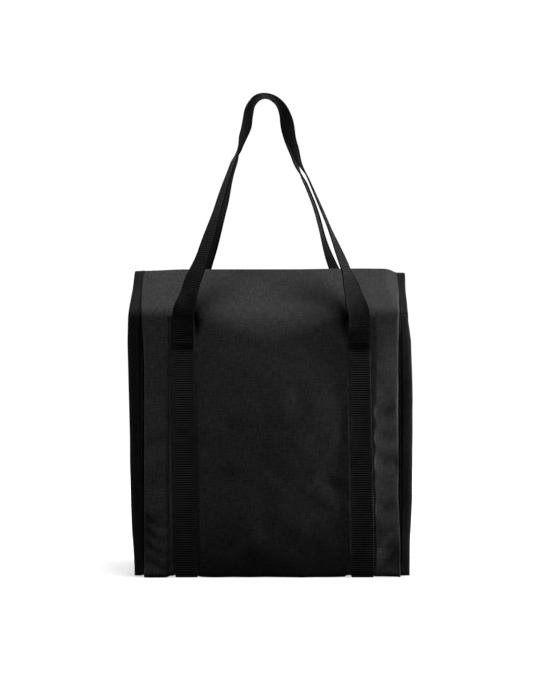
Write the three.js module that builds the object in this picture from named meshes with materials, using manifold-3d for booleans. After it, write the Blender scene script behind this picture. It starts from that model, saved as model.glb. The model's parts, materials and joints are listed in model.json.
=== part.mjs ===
// Insulated cooler tote with a gabled zip top, folded-in side gussets and two webbing handles held up.
// Millimetres, +Z up, +X to the right, -Y towards the viewer of the front. Origin: centre of the base, on the floor.
import * as THREE from "three";
import { mergeVertices } from "three/addons/utils/BufferGeometryUtils.js";
import Module from "manifold-3d";

const wasm = await Module();
wasm.setup();

// Driving sizes of the bag
const panelWidth = 291;
const bagDepth = 180;
const wallHeight = 300;
const lidAngle = THREE.MathUtils.degToRad(32);
const zipGap = 16;

// The front and back walls swell between the straps, most of all near half their height
const pillowDepth = 9;
const pillowPeakShare = 0.52;
const pillowSquareness = 2.6;
const pillowMargin = 1.5;
const pillowColumns = 14;
const wallRows = 10;

// Sheet goods
const shellThickness = 1;
const foamThickness = 4;
const linerThickness = 0.8;
const boardThickness = 2;
const seamGap = 0.3;

// Bound seams that stand out at the sides
const bindingWidth = 13.5;
const bindingThickness = 4;
const bindingSetback = 1.4;
const bindingBaseLift = 2.2;
const gussetTopDrop = 3;

// Webbing straps and handles
const webbingWidth = 25;
const webbingThickness = 1.6;
const strapSpacing = 200;
const sewnHeight = 295;
const strapCornerRadius = 1.2;
const handlePeakHeight = 554.5;
const handlePeakSetback = 15.5;
const handleBow = 4;
const backHandleDraw = 6.5;
const backHandleSpread = 3;
const handleSteps = 64;

// Thread box with a cross at the top of each sewn strap
const stitchBoxHeight = 26;
const stitchInset = 2.5;
const stitchTopInset = 3;
const threadWidth = 0.9;
const threadHeight = 0.4;
const threadGap = 0.1;

// Lid halves: rounded free corners, inner layers cut back from both ends, thinner bindings
const flapCornerRadius = 6;
const flapLayerTopInset = 7;
const flapFoamFoot = 4;
const flapLinerFoot = 5;
const flapBindingThickness = 3;
const flapBindingFoot = 5;
const flapBindingTopInset = 2;

// Zip
const tapeThickness = 0.6;
const tapeSewnWidth = 21;
const tapeInnerEdge = 4.4;
const tapeHalfLength = 138.7;
const tapeBendSetback = 0.5;
const toothPitch = 5;
const toothCount = 51;
const toothReach = 2.1;
const chainHeight = 2;
const spineFace = 2.4;
const chainSeatWidth = 3.2;
const frontChainStart = -120;

// Zip slider and its pull
const sliderLength = 12;
const sliderHalfWidth = 6.2;
const sliderPlate = 1.2;
const sliderRunningGap = 0.6;
const sliderTapeGap = 0.5;
const sliderCentre = -135;
const postLength = 2;
const postOuter = 4.1;
const postInner = 2.6;
const archLength = 8.4;
const archWidth = 2;
const archBar = 1.4;
const archWindow = 2.8;
const pullLength = 22;
const pullWidth = 7;
const pullThickness = 1.4;
const pullArmGap = 0.4;
const pullEyeLength = 5;

// Gusset tops that fold in under the lid
const tuckThickness = 2;
const tuckAngle = THREE.MathUtils.degToRad(20);
const tuckLength = 90;
const tuckBaseHalf = 69;
const tuckTipHalf = 11;
const tuckInset = 3.5;
const webThickness = 1.2;
const webAngle = THREE.MathUtils.degToRad(8.5);
const webInset = 0.5;
const webFoot = 14;
const webReach = 82;
const webTopInset = 8;

// Sizes that follow from the ones above
const halfWidth = panelWidth / 2;
const halfDepth = bagDepth / 2;
const baseShellLow = webbingThickness + seamGap;
const baseFoamLow = baseShellLow + shellThickness + seamGap;
const baseBoardLow = baseFoamLow + foamThickness + seamGap;
const baseLinerLow = baseBoardLow + boardThickness + seamGap;
const shellInner = halfDepth - shellThickness;
const foamOuter = shellInner - seamGap;
const foamInner = foamOuter - foamThickness;
const linerOuter = foamInner - seamGap;
const linerInner = linerOuter - linerThickness;
const gussetOuter = halfWidth + seamGap + shellThickness;
const sideFoamInner = halfWidth - foamThickness;
const sideLinerOuter = sideFoamInner - seamGap;
const sideLinerInner = sideLinerOuter - linerThickness;
const bindingOuterY = halfDepth - bindingSetback;
const bindingInnerY = bindingOuterY - bindingThickness;
const gussetHalfDepth = bindingInnerY - seamGap;
const gussetTop = wallHeight - gussetTopDrop;
const foamTop = wallHeight - foamThickness + seamGap;
const slopeLength = (halfDepth - zipGap / 2) / Math.cos(lidAngle);
const flapFoamTop = -(shellThickness + seamGap);
const flapFoamBottom = flapFoamTop - foamThickness;
const flapLinerTop = flapFoamBottom - seamGap;
const flapLinerBottom = flapLinerTop - linerThickness;
const tapeTop = flapLinerBottom - seamGap;
const tapeBottom = tapeTop - tapeThickness;
const webLine = flapLinerBottom - seamGap - webThickness / 2;
const strapCentre = strapSpacing / 2;
const strapInnerFace = halfDepth + seamGap;
const strapOuterFace = strapInnerFace + webbingThickness;
const strapPlane = (strapInnerFace + strapOuterFace) / 2;
const pillowHalfWidth = strapCentre - webbingWidth / 2 - pillowMargin;
const shellTop = wallHeight - shellThickness;
const evenLevels = Array.from({ length: wallRows - 1 }, (_, k) => ((k + 1) * wallHeight) / wallRows);
const wallLevels = [baseShellLow, baseFoamLow, baseBoardLow, ...evenLevels, foamTop, shellTop];
const tapeBend = zipGap / 2 + tapeBendSetback;
const zipLevel = levelOnSlope(tapeBend, tapeTop);
const chainLow = zipLevel + seamGap;
const sliderTopLow = chainLow + chainHeight + sliderRunningGap;
const sliderTopHigh = sliderTopLow + sliderPlate;
const sliderBottomHigh = zipLevel - tapeThickness - sliderTapeGap;
const pullAxisHeight = sliderTopHigh + archWindow / 2;

// Materials
const nylon = cloth(0x202022, 0.85);
const gussetCloth = cloth(0x1b1b1d, 0.88);
const webbing = cloth(0x161618, 0.75);
const tapeCloth = cloth(0x18181a, 0.8);
const thread = cloth(0x141416, 0.6);
const foam = cloth(0xd8d8d2, 0.95);
const foil = new THREE.MeshStandardMaterial({ color: 0xb9bcc0, roughness: 0.35, metalness: 0.6 });
const board = cloth(0x2c2c2e, 0.7);
const coil = cloth(0x121213, 0.45);
const zinc = new THREE.MeshStandardMaterial({ color: 0x242426, roughness: 0.35, metalness: 0.8 });

const bag = new THREE.Group();

function cloth(color, roughness) {
  return new THREE.MeshStandardMaterial({ color, roughness, metalness: 0 });
}

// Height of a line that lies `offset` outside the lid's slope, at a distance `y` from the middle of the bag
function levelOnSlope(y, offset) {
  return wallHeight + ((halfDepth - y) * Math.sin(lidAngle) + offset) / Math.cos(lidAngle);
}

function addMesh(parent, name, geometry, material) {
  const mesh = new THREE.Mesh(geometry, material);
  mesh.name = name;
  parent.add(mesh);
  return mesh;
}

// A block between two opposite corners
function block(low, high) {
  const size = high.map((value, axis) => value - low[axis]);
  const middle = high.map((value, axis) => (value + low[axis]) / 2);
  return new THREE.BoxGeometry(...size).translate(...middle);
}

function outline(points) {
  return new THREE.Shape(points.map(([a, b]) => new THREE.Vector2(a, b)));
}

// Extrudes an outline drawn in Y and Z along X
function extrudeAlongX(shape, xLow, xHigh) {
  const depth = xHigh - xLow;
  const geometry = new THREE.ExtrudeGeometry(shape, { depth, bevelEnabled: false, curveSegments: 6 });
  const turn = new THREE.Matrix4().makeBasis(
    new THREE.Vector3(0, 1, 0),
    new THREE.Vector3(0, 0, 1),
    new THREE.Vector3(1, 0, 0),
  );
  return geometry.applyMatrix4(turn).translate(xLow, 0, 0);
}

// Extrudes an outline drawn in X and Y upwards
function extrudeUp(shape, zLow, zHigh) {
  const depth = zHigh - zLow;
  return new THREE.ExtrudeGeometry(shape, { depth, bevelEnabled: false, curveSegments: 6 }).translate(0, 0, zLow);
}

function toSolid(geometry) {
  const bare = geometry.clone();
  bare.deleteAttribute("normal");
  bare.deleteAttribute("uv");
  const merged = mergeVertices(bare, 1e-4);
  const mesh = new wasm.Mesh({
    numProp: 3,
    vertProperties: merged.attributes.position.array,
    triVerts: new Uint32Array(merged.index.array),
  });
  return new wasm.Manifold(mesh);
}

// Joins overlapping closed geometries into one
function join(geometries) {
  const solid = geometries.map(toSolid).reduce((sum, next) => sum.add(next));
  const mesh = solid.getMesh();
  const geometry = new THREE.BufferGeometry();
  geometry.setAttribute("position", new THREE.BufferAttribute(mesh.vertProperties, 3));
  geometry.setIndex(new THREE.BufferAttribute(mesh.triVerts, 1));
  geometry.computeVertexNormals();
  return geometry;
}

// How far a wall stands out of its flat plane: nothing under the straps, at the foot and at the crease
function pillowAt(x, z) {
  const across = 1 - Math.min(1, Math.abs(x) / pillowHalfWidth) ** pillowSquareness;
  const share = (z - baseShellLow) / (shellTop - baseShellLow);
  const reach = share < pillowPeakShare ? pillowPeakShare : 1 - pillowPeakShare;
  const upwards = 1 - ((share - pillowPeakShare) / reach) ** 2;
  return pillowDepth * across * upwards;
}

// One layer of a wall, of even thickness, that follows the pillow. All layers share their rows and columns of
// points, so that they nest.
function wallLayer(side, outer, inner, half, low, high) {
  const pitch = (2 * pillowHalfWidth) / pillowColumns;
  const swollen = Array.from({ length: pillowColumns + 1 }, (_, k) => k * pitch - pillowHalfWidth);
  const columns = [-half, ...swollen, half];
  const rows = wallLevels.filter((level) => level >= low && level <= high);
  const face = (distance) => rows.flatMap((z) => columns.map((x) => [x, side * (distance + pillowAt(x, z)), z]));
  const points = [...face(outer), ...face(inner)];
  const outerAt = (row, column) => row * columns.length + column;
  const innerAt = (row, column) => outerAt(row, column) + rows.length * columns.length;
  const indices = [];
  const addQuad = (a, b, c, d) => {
    const turned = side < 0 ? [a, b, c, a, c, d] : [a, c, b, a, d, c];
    indices.push(...turned);
  };
  const lastRow = rows.length - 1;
  const lastColumn = columns.length - 1;
  for (let row = 0; row < lastRow; row += 1) {
    for (let column = 0; column < lastColumn; column += 1) {
      addQuad(
        outerAt(row, column),
        outerAt(row, column + 1),
        outerAt(row + 1, column + 1),
        outerAt(row + 1, column),
      );
      addQuad(
        innerAt(row, column),
        innerAt(row + 1, column),
        innerAt(row + 1, column + 1),
        innerAt(row, column + 1),
      );
    }
    addQuad(outerAt(row, 0), outerAt(row + 1, 0), innerAt(row + 1, 0), innerAt(row, 0));
    addQuad(
      outerAt(row, lastColumn),
      innerAt(row, lastColumn),
      innerAt(row + 1, lastColumn),
      outerAt(row + 1, lastColumn),
    );
  }
  for (let column = 0; column < lastColumn; column += 1) {
    addQuad(outerAt(0, column), innerAt(0, column), innerAt(0, column + 1), outerAt(0, column + 1));
    addQuad(
      outerAt(lastRow, column),
      outerAt(lastRow, column + 1),
      innerAt(lastRow, column + 1),
      innerAt(lastRow, column),
    );
  }
  const shared = new THREE.BufferGeometry();
  shared.setAttribute("position", new THREE.Float32BufferAttribute(points.flat(), 3));
  shared.setIndex(indices);
  const geometry = shared.toNonIndexed();
  geometry.computeVertexNormals();
  return geometry;
}

// Front and back walls: shell, foam and foil lining, from the outside in
function addWall(name, side) {
  const layer = (outer, inner, half, low, high) => wallLayer(side, outer, inner, half, low, high);
  addMesh(bag, `${name}_panel`, layer(halfDepth, shellInner, halfWidth, baseShellLow, shellTop), nylon);
  addMesh(bag, `${name}_foam`, layer(foamOuter, foamInner, halfWidth, baseFoamLow, foamTop), foam);
  addMesh(bag, `${name}_liner`, layer(linerOuter, linerInner, sideLinerOuter, baseBoardLow, foamTop), foil);
}

// Side gussets: shell, foam and foil lining
function addGusset(name, side) {
  const layer = (outer, inner, half, low) => {
    const near = Math.min(side * outer, side * inner);
    const far = Math.max(side * outer, side * inner);
    return block([near, -half, low], [far, half, gussetTop]);
  };
  const shellFace = gussetOuter - shellThickness;
  addMesh(bag, `${name}_gusset`, layer(gussetOuter, shellFace, gussetHalfDepth, baseShellLow), gussetCloth);
  addMesh(bag, `${name}_foam`, layer(halfWidth, sideFoamInner, linerOuter, baseFoamLow), foam);
  const linerHalf = linerInner - seamGap;
  addMesh(bag, `${name}_liner`, layer(sideLinerOuter, sideLinerInner, linerHalf, baseBoardLow), foil);
}

// Base: shell, foam, stiff board and lining, from the floor up
function addBase() {
  const sheet = (halfX, halfY, low, thickness) => block([-halfX, -halfY, low], [halfX, halfY, low + thickness]);
  const boardX = sideLinerInner - seamGap;
  const boardY = linerInner - seamGap;
  const foamX = sideFoamInner - seamGap;
  addMesh(bag, "base_panel", sheet(halfWidth, foamOuter, baseShellLow, shellThickness), nylon);
  addMesh(bag, "base_foam", sheet(foamX, linerOuter, baseFoamLow, foamThickness), foam);
  addMesh(bag, "base_board", sheet(boardX, boardY, baseBoardLow, boardThickness), board);
  addMesh(bag, "base_liner", sheet(boardX, boardY, baseLinerLow, linerThickness), foil);
}

// A folded binding tape, closed at its outer edge with a half round
function bindingOutline(reach, thickness) {
  const radius = thickness / 2;
  const shape = new THREE.Shape();
  shape.moveTo(0, 0);
  shape.lineTo(reach - radius, 0);
  shape.absarc(reach - radius, radius, radius, -Math.PI / 2, Math.PI / 2, false);
  shape.lineTo(0, thickness);
  return shape;
}

// Bindings on the four upright seams and along the two side edges of the base
function addBindings() {
  for (const [depthName, depthSide] of [["front", -1], ["back", 1]]) {
    for (const [sideName, side] of [["left", -1], ["right", 1]]) {
      const geometry = extrudeUp(bindingOutline(bindingWidth, bindingThickness), bindingBaseLift, gussetTop);
      geometry.translate(halfWidth + seamGap, -bindingOuterY, 0);
      // Each is drawn on the right; a left one is then turned half round, which swaps front and back
      const drawnAtBack = side * depthSide > 0;
      const upright = addMesh(bag, `${depthName}_${sideName}_binding`, geometry, tapeCloth);
      if (drawnAtBack) {
        geometry.translate(0, bindingOuterY + bindingInnerY, 0);
      }
      if (side < 0) {
        upright.rotation.z = Math.PI;
      }
    }
  }
  for (const [sideName, side] of [["left", -1], ["right", 1]]) {
    const reach = bindingWidth - shellThickness - seamGap;
    const geometry = extrudeUp(bindingOutline(reach, bindingThickness), -gussetHalfDepth, gussetHalfDepth);
    geometry.rotateX(Math.PI / 2).translate(gussetOuter + seamGap, 0, bindingBaseLift);
    const edge = addMesh(bag, `${sideName}_base_binding`, geometry, tapeCloth);
    if (side < 0) {
      edge.rotation.z = Math.PI;
    }
  }
}

// A strap runs down the front, under the base and up the back
function strapGeometry() {
  const outer = strapCornerRadius + webbingThickness / 2;
  const inner = strapCornerRadius - webbingThickness / 2;
  const centre = strapPlane - strapCornerRadius;
  const top = sewnHeight - seamGap / 2;
  const shape = new THREE.Shape();
  shape.moveTo(-strapOuterFace, top);
  shape.lineTo(-strapOuterFace, outer);
  shape.absarc(-centre, outer, outer, Math.PI, Math.PI * 1.5, false);
  shape.lineTo(centre, 0);
  shape.absarc(centre, outer, outer, -Math.PI / 2, 0, false);
  shape.lineTo(strapOuterFace, top);
  shape.lineTo(strapInnerFace, top);
  shape.lineTo(strapInnerFace, outer);
  shape.absarc(centre, outer, inner, 0, -Math.PI / 2, true);
  shape.lineTo(-centre, webbingThickness);
  shape.absarc(-centre, outer, inner, Math.PI * 1.5, Math.PI, true);
  shape.lineTo(-strapInnerFace, top);
  return extrudeAlongX(shape, -webbingWidth / 2, webbingWidth / 2);
}

// Thread laid as a box with a cross, drawn in X and Z and standing proud of the strap
function stitchGeometry() {
  const half = webbingWidth / 2 - stitchInset;
  const high = sewnHeight - stitchTopInset;
  const low = high - stitchBoxHeight;
  const near = -(strapOuterFace + threadGap + threadHeight);
  const far = -(strapOuterFace + threadGap);
  const bar = (x0, z0, x1, z1) => block([x0, near, z0], [x1, far, z1]);
  const diagonal = Math.hypot(2 * half, stitchBoxHeight) - threadWidth;
  const lean = Math.atan2(2 * half, stitchBoxHeight);
  const stroke = (angle) => {
    const length = new THREE.BoxGeometry(threadWidth, threadHeight, diagonal).rotateY(angle);
    return length.translate(0, (near + far) / 2, (low + high) / 2);
  };
  return join([
    bar(-half, low, -half + threadWidth, high),
    bar(half - threadWidth, low, half, high),
    bar(-half, low, half, low + threadWidth),
    bar(-half, high - threadWidth, half, high),
    stroke(lean),
    stroke(-lean),
  ]);
}

function addStraps() {
  for (const [sideName, side] of [["left", -1], ["right", 1]]) {
    const strap = addMesh(bag, `${sideName}_strap`, strapGeometry(), webbing);
    strap.position.x = side * strapCentre;
    for (const [depthName, turn] of [["front", 0], ["back", Math.PI]]) {
      const stitches = addMesh(bag, `${depthName}_${sideName}_stitches`, stitchGeometry(), thread);
      stitches.rotation.z = turn;
      stitches.position.x = side * strapCentre;
    }
  }
}

// Route of a handle's middle line seen from the front: x and z, from the right strap over the peak to the left
const handleRoute = [
  [strapCentre, sewnHeight + seamGap / 2],
  [98.8, 303],
  [95, 315],
  [89.5, 336],
  [80.9, 360],
  [62.7, 406],
  [43.2, 453],
  [32.5, 476],
  [25.5, 496],
  [18.5, 521],
  [11.5, 540],
  [3.5, 550],
  [-6.8, handlePeakHeight],
  [-16.9, 550],
  [-24, 538],
  [-28.5, 521],
  [-35.5, 497],
  [-43, 475],
  [-50.4, 453],
  [-64.6, 406],
  [-79.3, 360],
  [-88.8, 336],
  [-94.8, 315],
  [-98.8, 303],
  [-strapCentre, sewnHeight + seamGap / 2],
];

// How far the webbing is turned out of the panel's plane along the route: share of the route, degrees.
// Its inner edges come forward on both sides, and it lies edge-on over the peak
const handleTwist = [
  [0, 0],
  [0.015, 2],
  [0.06, 42],
  [0.1, 66],
  [0.2, 82],
  [0.3, 86],
  [0.36, 107],
  [0.42, 123],
  [0.5, 95],
  [0.57, 113],
  [0.62, 103],
  [0.67, 78],
  [0.76, 70],
  [0.86, 56],
  [0.94, 40],
  [0.985, 2],
  [1, 0],
];

function twistAt(share) {
  const next = Math.max(1, handleTwist.findIndex(([at]) => at >= share));
  const [shareA, angleA] = handleTwist[next - 1];
  const [shareB, angleB] = handleTwist[next];
  const along = THREE.MathUtils.clamp((share - shareA) / (shareB - shareA), 0, 1);
  const eased = along * along * (3 - 2 * along);
  return THREE.MathUtils.degToRad(angleA + (angleB - angleA) * eased);
}

function heightShare(z) {
  return Math.max(0, (z - sewnHeight) / (handlePeakHeight - sewnHeight));
}

// Handles bow out a little above the straps and lean inwards, so that both meet over the middle of the bag
function leanAt(z) {
  const share = heightShare(z);
  const bow = handleBow * Math.sin(Math.PI * Math.sqrt(share));
  return strapPlane - (strapPlane - handlePeakSetback) * share ** 2 + bow;
}

// A smooth rise to 1 midway between two heights, and 0 outside them
function hump(z, low, high) {
  const share = THREE.MathUtils.clamp((z - low) / (high - low), 0, 1);
  return Math.sin(Math.PI * share) ** 2;
}

// The back handle hangs further left: its right strand over the ridge, its left strand under the peak
function backHandleShift(x, z) {
  const overRidge = backHandleDraw * hump(z, sewnHeight, sewnHeight + 145);
  const underPeak = backHandleSpread * hump(z, handlePeakHeight - 130, handlePeakHeight - 25);
  return x > 0 ? -overRidge : -underPeak;
}

// A flat band of webbing swept along the route, its width turned by the twist. side is -1 at the front
function handleGeometry(side) {
  const points = handleRoute.map(([x, z]) => {
    const shift = side > 0 ? backHandleShift(x, z) : 0;
    return new THREE.Vector3(x + shift, side * leanAt(z), z);
  });
  const curve = new THREE.CatmullRomCurve3(points, false, "centripetal");
  const up = new THREE.Vector3(0, 0, 1);
  const positions = [];
  for (let step = 0; step <= handleSteps; step++) {
    const share = step / handleSteps;
    const centre = curve.getPointAt(share);
    const along = curve.getTangentAt(share);
    if (step === 0) {
      along.copy(up);
    }
    if (step === handleSteps) {
      along.copy(up).negate();
    }
    const depthward = new THREE.Vector3(0, 1, 0).addScaledVector(along, -along.y).normalize();
    const sideward = new THREE.Vector3().crossVectors(depthward, along).normalize();
    const angle = twistAt(share);
    const across = sideward.multiplyScalar(Math.cos(angle)).addScaledVector(depthward, -side * Math.sin(angle));
    const face = new THREE.Vector3().crossVectors(along, across);
    for (const [a, b] of [[1, 1], [-1, 1], [-1, -1], [1, -1]]) {
      const corner = centre.clone();
      corner.addScaledVector(across, (a * webbingWidth) / 2);
      corner.addScaledVector(face, (b * webbingThickness) / 2);
      positions.push(corner.x, corner.y, corner.z);
    }
  }
  const faces = [0, 2, 1, 0, 3, 2];
  for (let step = 0; step < handleSteps; step++) {
    for (let corner = 0; corner < 4; corner++) {
      const a = step * 4 + corner;
      const b = step * 4 + ((corner + 1) % 4);
      faces.push(a, b, b + 4, a, b + 4, a + 4);
    }
  }
  const last = handleSteps * 4;
  faces.push(last, last + 1, last + 2, last, last + 2, last + 3);
  const geometry = new THREE.BufferGeometry();
  geometry.setAttribute("position", new THREE.Float32BufferAttribute(positions, 3));
  geometry.setIndex(faces);
  geometry.computeVertexNormals();
  return geometry;
}

// A frame whose X runs along the crease, Y up the lid's slope and Z out of it
function slopeFrame(turn) {
  const half = new THREE.Group();
  half.rotation.z = turn;
  bag.add(half);
  const slope = new THREE.Group();
  slope.position.set(0, -halfDepth, wallHeight);
  slope.rotation.x = lidAngle;
  half.add(slope);
  return { half, slope };
}

// One half of the lid: shell, foam, foil lining and the bindings on its two side edges
function addFlap(name, slope, sideNames) {
  const shell = new THREE.Shape();
  shell.moveTo(-halfWidth, seamGap);
  shell.lineTo(halfWidth, seamGap);
  shell.lineTo(halfWidth, slopeLength - flapCornerRadius);
  shell.absarc(halfWidth - flapCornerRadius, slopeLength - flapCornerRadius, flapCornerRadius, 0, Math.PI / 2, false);
  shell.lineTo(flapCornerRadius - halfWidth, slopeLength);
  shell.absarc(flapCornerRadius - halfWidth, slopeLength - flapCornerRadius, flapCornerRadius, Math.PI / 2, Math.PI, false);
  addMesh(slope, `${name}_flap`, extrudeUp(shell, -shellThickness, 0), nylon);
  const layer = (low, high, bottom, top) => block([-halfWidth, low, bottom], [halfWidth, high, top]);
  const foamSheet = layer(flapFoamFoot, slopeLength - flapLayerTopInset, flapFoamBottom, flapFoamTop);
  addMesh(slope, `${name}_flap_foam`, foamSheet, foam);
  const linerSheet = layer(flapLinerFoot, slopeLength - flapLayerTopInset, flapLinerBottom, flapLinerTop);
  addMesh(slope, `${name}_flap_liner`, linerSheet, foil);
  for (const [sideName, turned] of [[sideNames[0], true], [sideNames[1], false]]) {
    const length = slopeLength - flapBindingTopInset - flapBindingFoot;
    const geometry = extrudeUp(bindingOutline(bindingWidth, flapBindingThickness), -length / 2, length / 2);
    geometry.rotateX(Math.PI / 2);
    geometry.translate(halfWidth + seamGap, 0, -(flapBindingThickness + bindingSetback));
    if (turned) {
      geometry.rotateZ(Math.PI);
    }
    geometry.translate(0, flapBindingFoot + length / 2, 0);
    addMesh(slope, `${name}_flap_${sideName}_binding`, geometry, tapeCloth);
  }
}

// Zip tape: sewn under the lining, then bent level towards the middle
function tapeGeometry() {
  const onSlope = (up, out) => [
    -halfDepth + up * Math.cos(lidAngle) - out * Math.sin(lidAngle),
    wallHeight + up * Math.sin(lidAngle) + out * Math.cos(lidAngle),
  ];
  const lowLevel = zipLevel - tapeThickness;
  const bendLow = -halfDepth + ((lowLevel - wallHeight) * Math.cos(lidAngle) - tapeBottom) / Math.sin(lidAngle);
  const shape = outline([
    onSlope(slopeLength - tapeSewnWidth, tapeBottom),
    [bendLow, lowLevel],
    [-tapeInnerEdge, lowLevel],
    [-tapeInnerEdge, zipLevel],
    [-tapeBend, zipLevel],
    onSlope(slopeLength - tapeSewnWidth, tapeTop),
  ]);
  return extrudeAlongX(shape, -tapeHalfLength, tapeHalfLength);
}

// One row of the chain: a comb whose teeth stand in the gaps of the other row, which is this one turned half round
function chainGeometry(start, end) {
  const toothWidth = toothPitch / 2 - seamGap;
  const points = [[start, -(spineFace + chainSeatWidth)], [end, -(spineFace + chainSeatWidth)], [end, -spineFace]];
  for (let tooth = toothCount; tooth >= -toothCount; tooth--) {
    const middle = (tooth * toothPitch) / 2 + toothPitch / 4;
    const ownSlot = tooth % 2 === 0;
    if (ownSlot && middle - toothWidth > start && middle + toothWidth < end) {
      points.push([middle + toothWidth / 2, -spineFace], [middle + toothWidth / 2, toothReach]);
      points.push([middle - toothWidth / 2, toothReach], [middle - toothWidth / 2, -spineFace]);
    }
  }
  points.push([start, -spineFace]);
  return extrudeUp(outline(points), chainLow, chainLow + chainHeight);
}

// Slider: two plates joined by a post in front of the chain's end, with an arch on top for the pull
function sliderGeometry() {
  const endX = sliderCentre - sliderLength / 2;
  const farX = sliderCentre + sliderLength / 2;
  const plate = (low, high) => block([endX, -sliderHalfWidth, low], [farX, sliderHalfWidth, high]);
  const archLow = sliderTopHigh - sliderPlate / 2;
  const archTop = sliderTopHigh + archWindow + archBar;
  const archStart = sliderCentre - archLength / 2;
  const archEnd = sliderCentre + archLength / 2;
  const halfArch = archWidth / 2;
  const postTop = sliderTopLow + sliderPlate / 2;
  const postLow = sliderBottomHigh - sliderPlate / 2;
  return join([
    plate(sliderTopLow, sliderTopHigh),
    plate(sliderBottomHigh - sliderPlate, sliderBottomHigh),
    block([endX, -postOuter, postLow], [endX + postLength, -postInner, postTop]),
    block([archStart, -halfArch, archLow], [archStart + archBar, halfArch, archTop]),
    block([archEnd - archBar, -halfArch, archLow], [archEnd, halfArch, archTop]),
    block([archStart, -halfArch, archTop - archBar], [archEnd, halfArch, archTop]),
  ]);
}

// Pull: a flat tab with an eye whose cross bar lies under the slider's arch
function pullGeometry() {
  const halfBar = pullThickness / 2;
  const armInner = archWidth / 2 + pullArmGap;
  const farEnd = pullLength - pullWidth / 2;
  const tab = new THREE.Shape();
  tab.moveTo(-halfBar, -pullWidth / 2);
  tab.lineTo(farEnd, -pullWidth / 2);
  tab.absarc(farEnd, 0, pullWidth / 2, -Math.PI / 2, Math.PI / 2, false);
  tab.lineTo(-halfBar, pullWidth / 2);
  const eye = outline([
    [halfBar, -armInner],
    [halfBar + pullEyeLength, -armInner],
    [halfBar + pullEyeLength, armInner],
    [halfBar, armInner],
  ]);
  tab.holes.push(eye);
  return extrudeUp(tab, -halfBar, halfBar).translate(sliderCentre, 0, pullAxisHeight);
}

// Gusset top: the middle triangle, hinged on the gusset's upper edge and leaning inwards
function addTuck(name, turn) {
  const shape = outline([
    [0, -tuckBaseHalf],
    [tuckLength, -tuckTipHalf],
    [tuckLength, tuckTipHalf],
    [0, tuckBaseHalf],
  ]);
  const half = new THREE.Group();
  half.rotation.z = turn;
  bag.add(half);
  const geometry = extrudeUp(shape, -tuckThickness / 2, tuckThickness / 2);
  const tuck = addMesh(half, name, geometry, gussetCloth);
  tuck.position.set(tuckInset - gussetOuter, 0, gussetTop + seamGap + tuckThickness / 2);
  tuck.rotation.y = -tuckAngle;
}

// Corner web: the gusset cloth that folds flat under a flap, hinged on the flap's side edge
function addWeb(name, slope, side) {
  const shape = outline([
    [0, webFoot],
    [0, slopeLength - webTopInset],
    [side * -webReach, slopeLength - webTopInset],
  ]);
  const web = addMesh(slope, name, extrudeUp(shape, -webThickness / 2, webThickness / 2), gussetCloth);
  web.position.set(side * (halfWidth - webInset), 0, webLine);
  web.rotation.y = side * -webAngle;
}

addBase();
addWall("front", -1);
addWall("back", 1);
addGusset("left", -1);
addGusset("right", 1);
addBindings();
addStraps();
addMesh(bag, "front_handle", handleGeometry(-1), webbing);
addMesh(bag, "back_handle", handleGeometry(1), webbing);
addTuck("left_tuck", 0);
addTuck("right_tuck", Math.PI);

// Lid halves: the back one is the front one turned half round, so its left and right change places
const lidHalves = [
  { name: "front", turn: 0, sideNames: ["left", "right"], chain: [frontChainStart, tapeHalfLength] },
  { name: "back", turn: Math.PI, sideNames: ["right", "left"], chain: [-tapeHalfLength, tapeHalfLength - postLength] },
];
for (const { name, turn, sideNames, chain } of lidHalves) {
  const { half, slope } = slopeFrame(turn);
  addFlap(name, slope, sideNames);
  addMesh(half, `${name}_zip_tape`, tapeGeometry(), tapeCloth);
  addMesh(half, `${name}_zip_chain`, chainGeometry(...chain), coil);
  addWeb(`${name}_${sideNames[0]}_web`, slope, -1);
  addWeb(`${name}_${sideNames[1]}_web`, slope, 1);
}
addMesh(bag, "zip_slider", sliderGeometry(), zinc);
addMesh(bag, "zip_pull", pullGeometry(), zinc);

export default bag;
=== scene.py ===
import json
import math

import bmesh
import bpy
import numpy as np
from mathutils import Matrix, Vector


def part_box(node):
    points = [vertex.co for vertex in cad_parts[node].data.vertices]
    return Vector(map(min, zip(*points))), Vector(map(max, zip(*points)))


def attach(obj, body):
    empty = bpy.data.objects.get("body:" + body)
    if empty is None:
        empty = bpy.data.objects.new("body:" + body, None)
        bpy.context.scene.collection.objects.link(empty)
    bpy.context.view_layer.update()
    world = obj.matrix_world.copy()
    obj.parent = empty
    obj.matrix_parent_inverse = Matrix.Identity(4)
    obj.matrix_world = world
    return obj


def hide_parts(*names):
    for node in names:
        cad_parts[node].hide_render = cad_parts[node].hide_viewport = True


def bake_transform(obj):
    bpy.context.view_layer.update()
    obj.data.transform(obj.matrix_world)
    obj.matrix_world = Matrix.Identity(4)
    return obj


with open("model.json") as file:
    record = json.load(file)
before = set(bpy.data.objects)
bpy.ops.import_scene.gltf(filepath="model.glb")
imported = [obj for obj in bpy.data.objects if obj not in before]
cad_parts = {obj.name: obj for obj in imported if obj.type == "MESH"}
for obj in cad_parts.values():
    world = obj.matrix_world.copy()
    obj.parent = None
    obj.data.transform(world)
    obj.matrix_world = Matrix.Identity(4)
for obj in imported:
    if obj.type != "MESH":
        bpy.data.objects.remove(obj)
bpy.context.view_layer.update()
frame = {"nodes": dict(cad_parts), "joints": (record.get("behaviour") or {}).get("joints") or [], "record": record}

MM = 0.001

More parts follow.
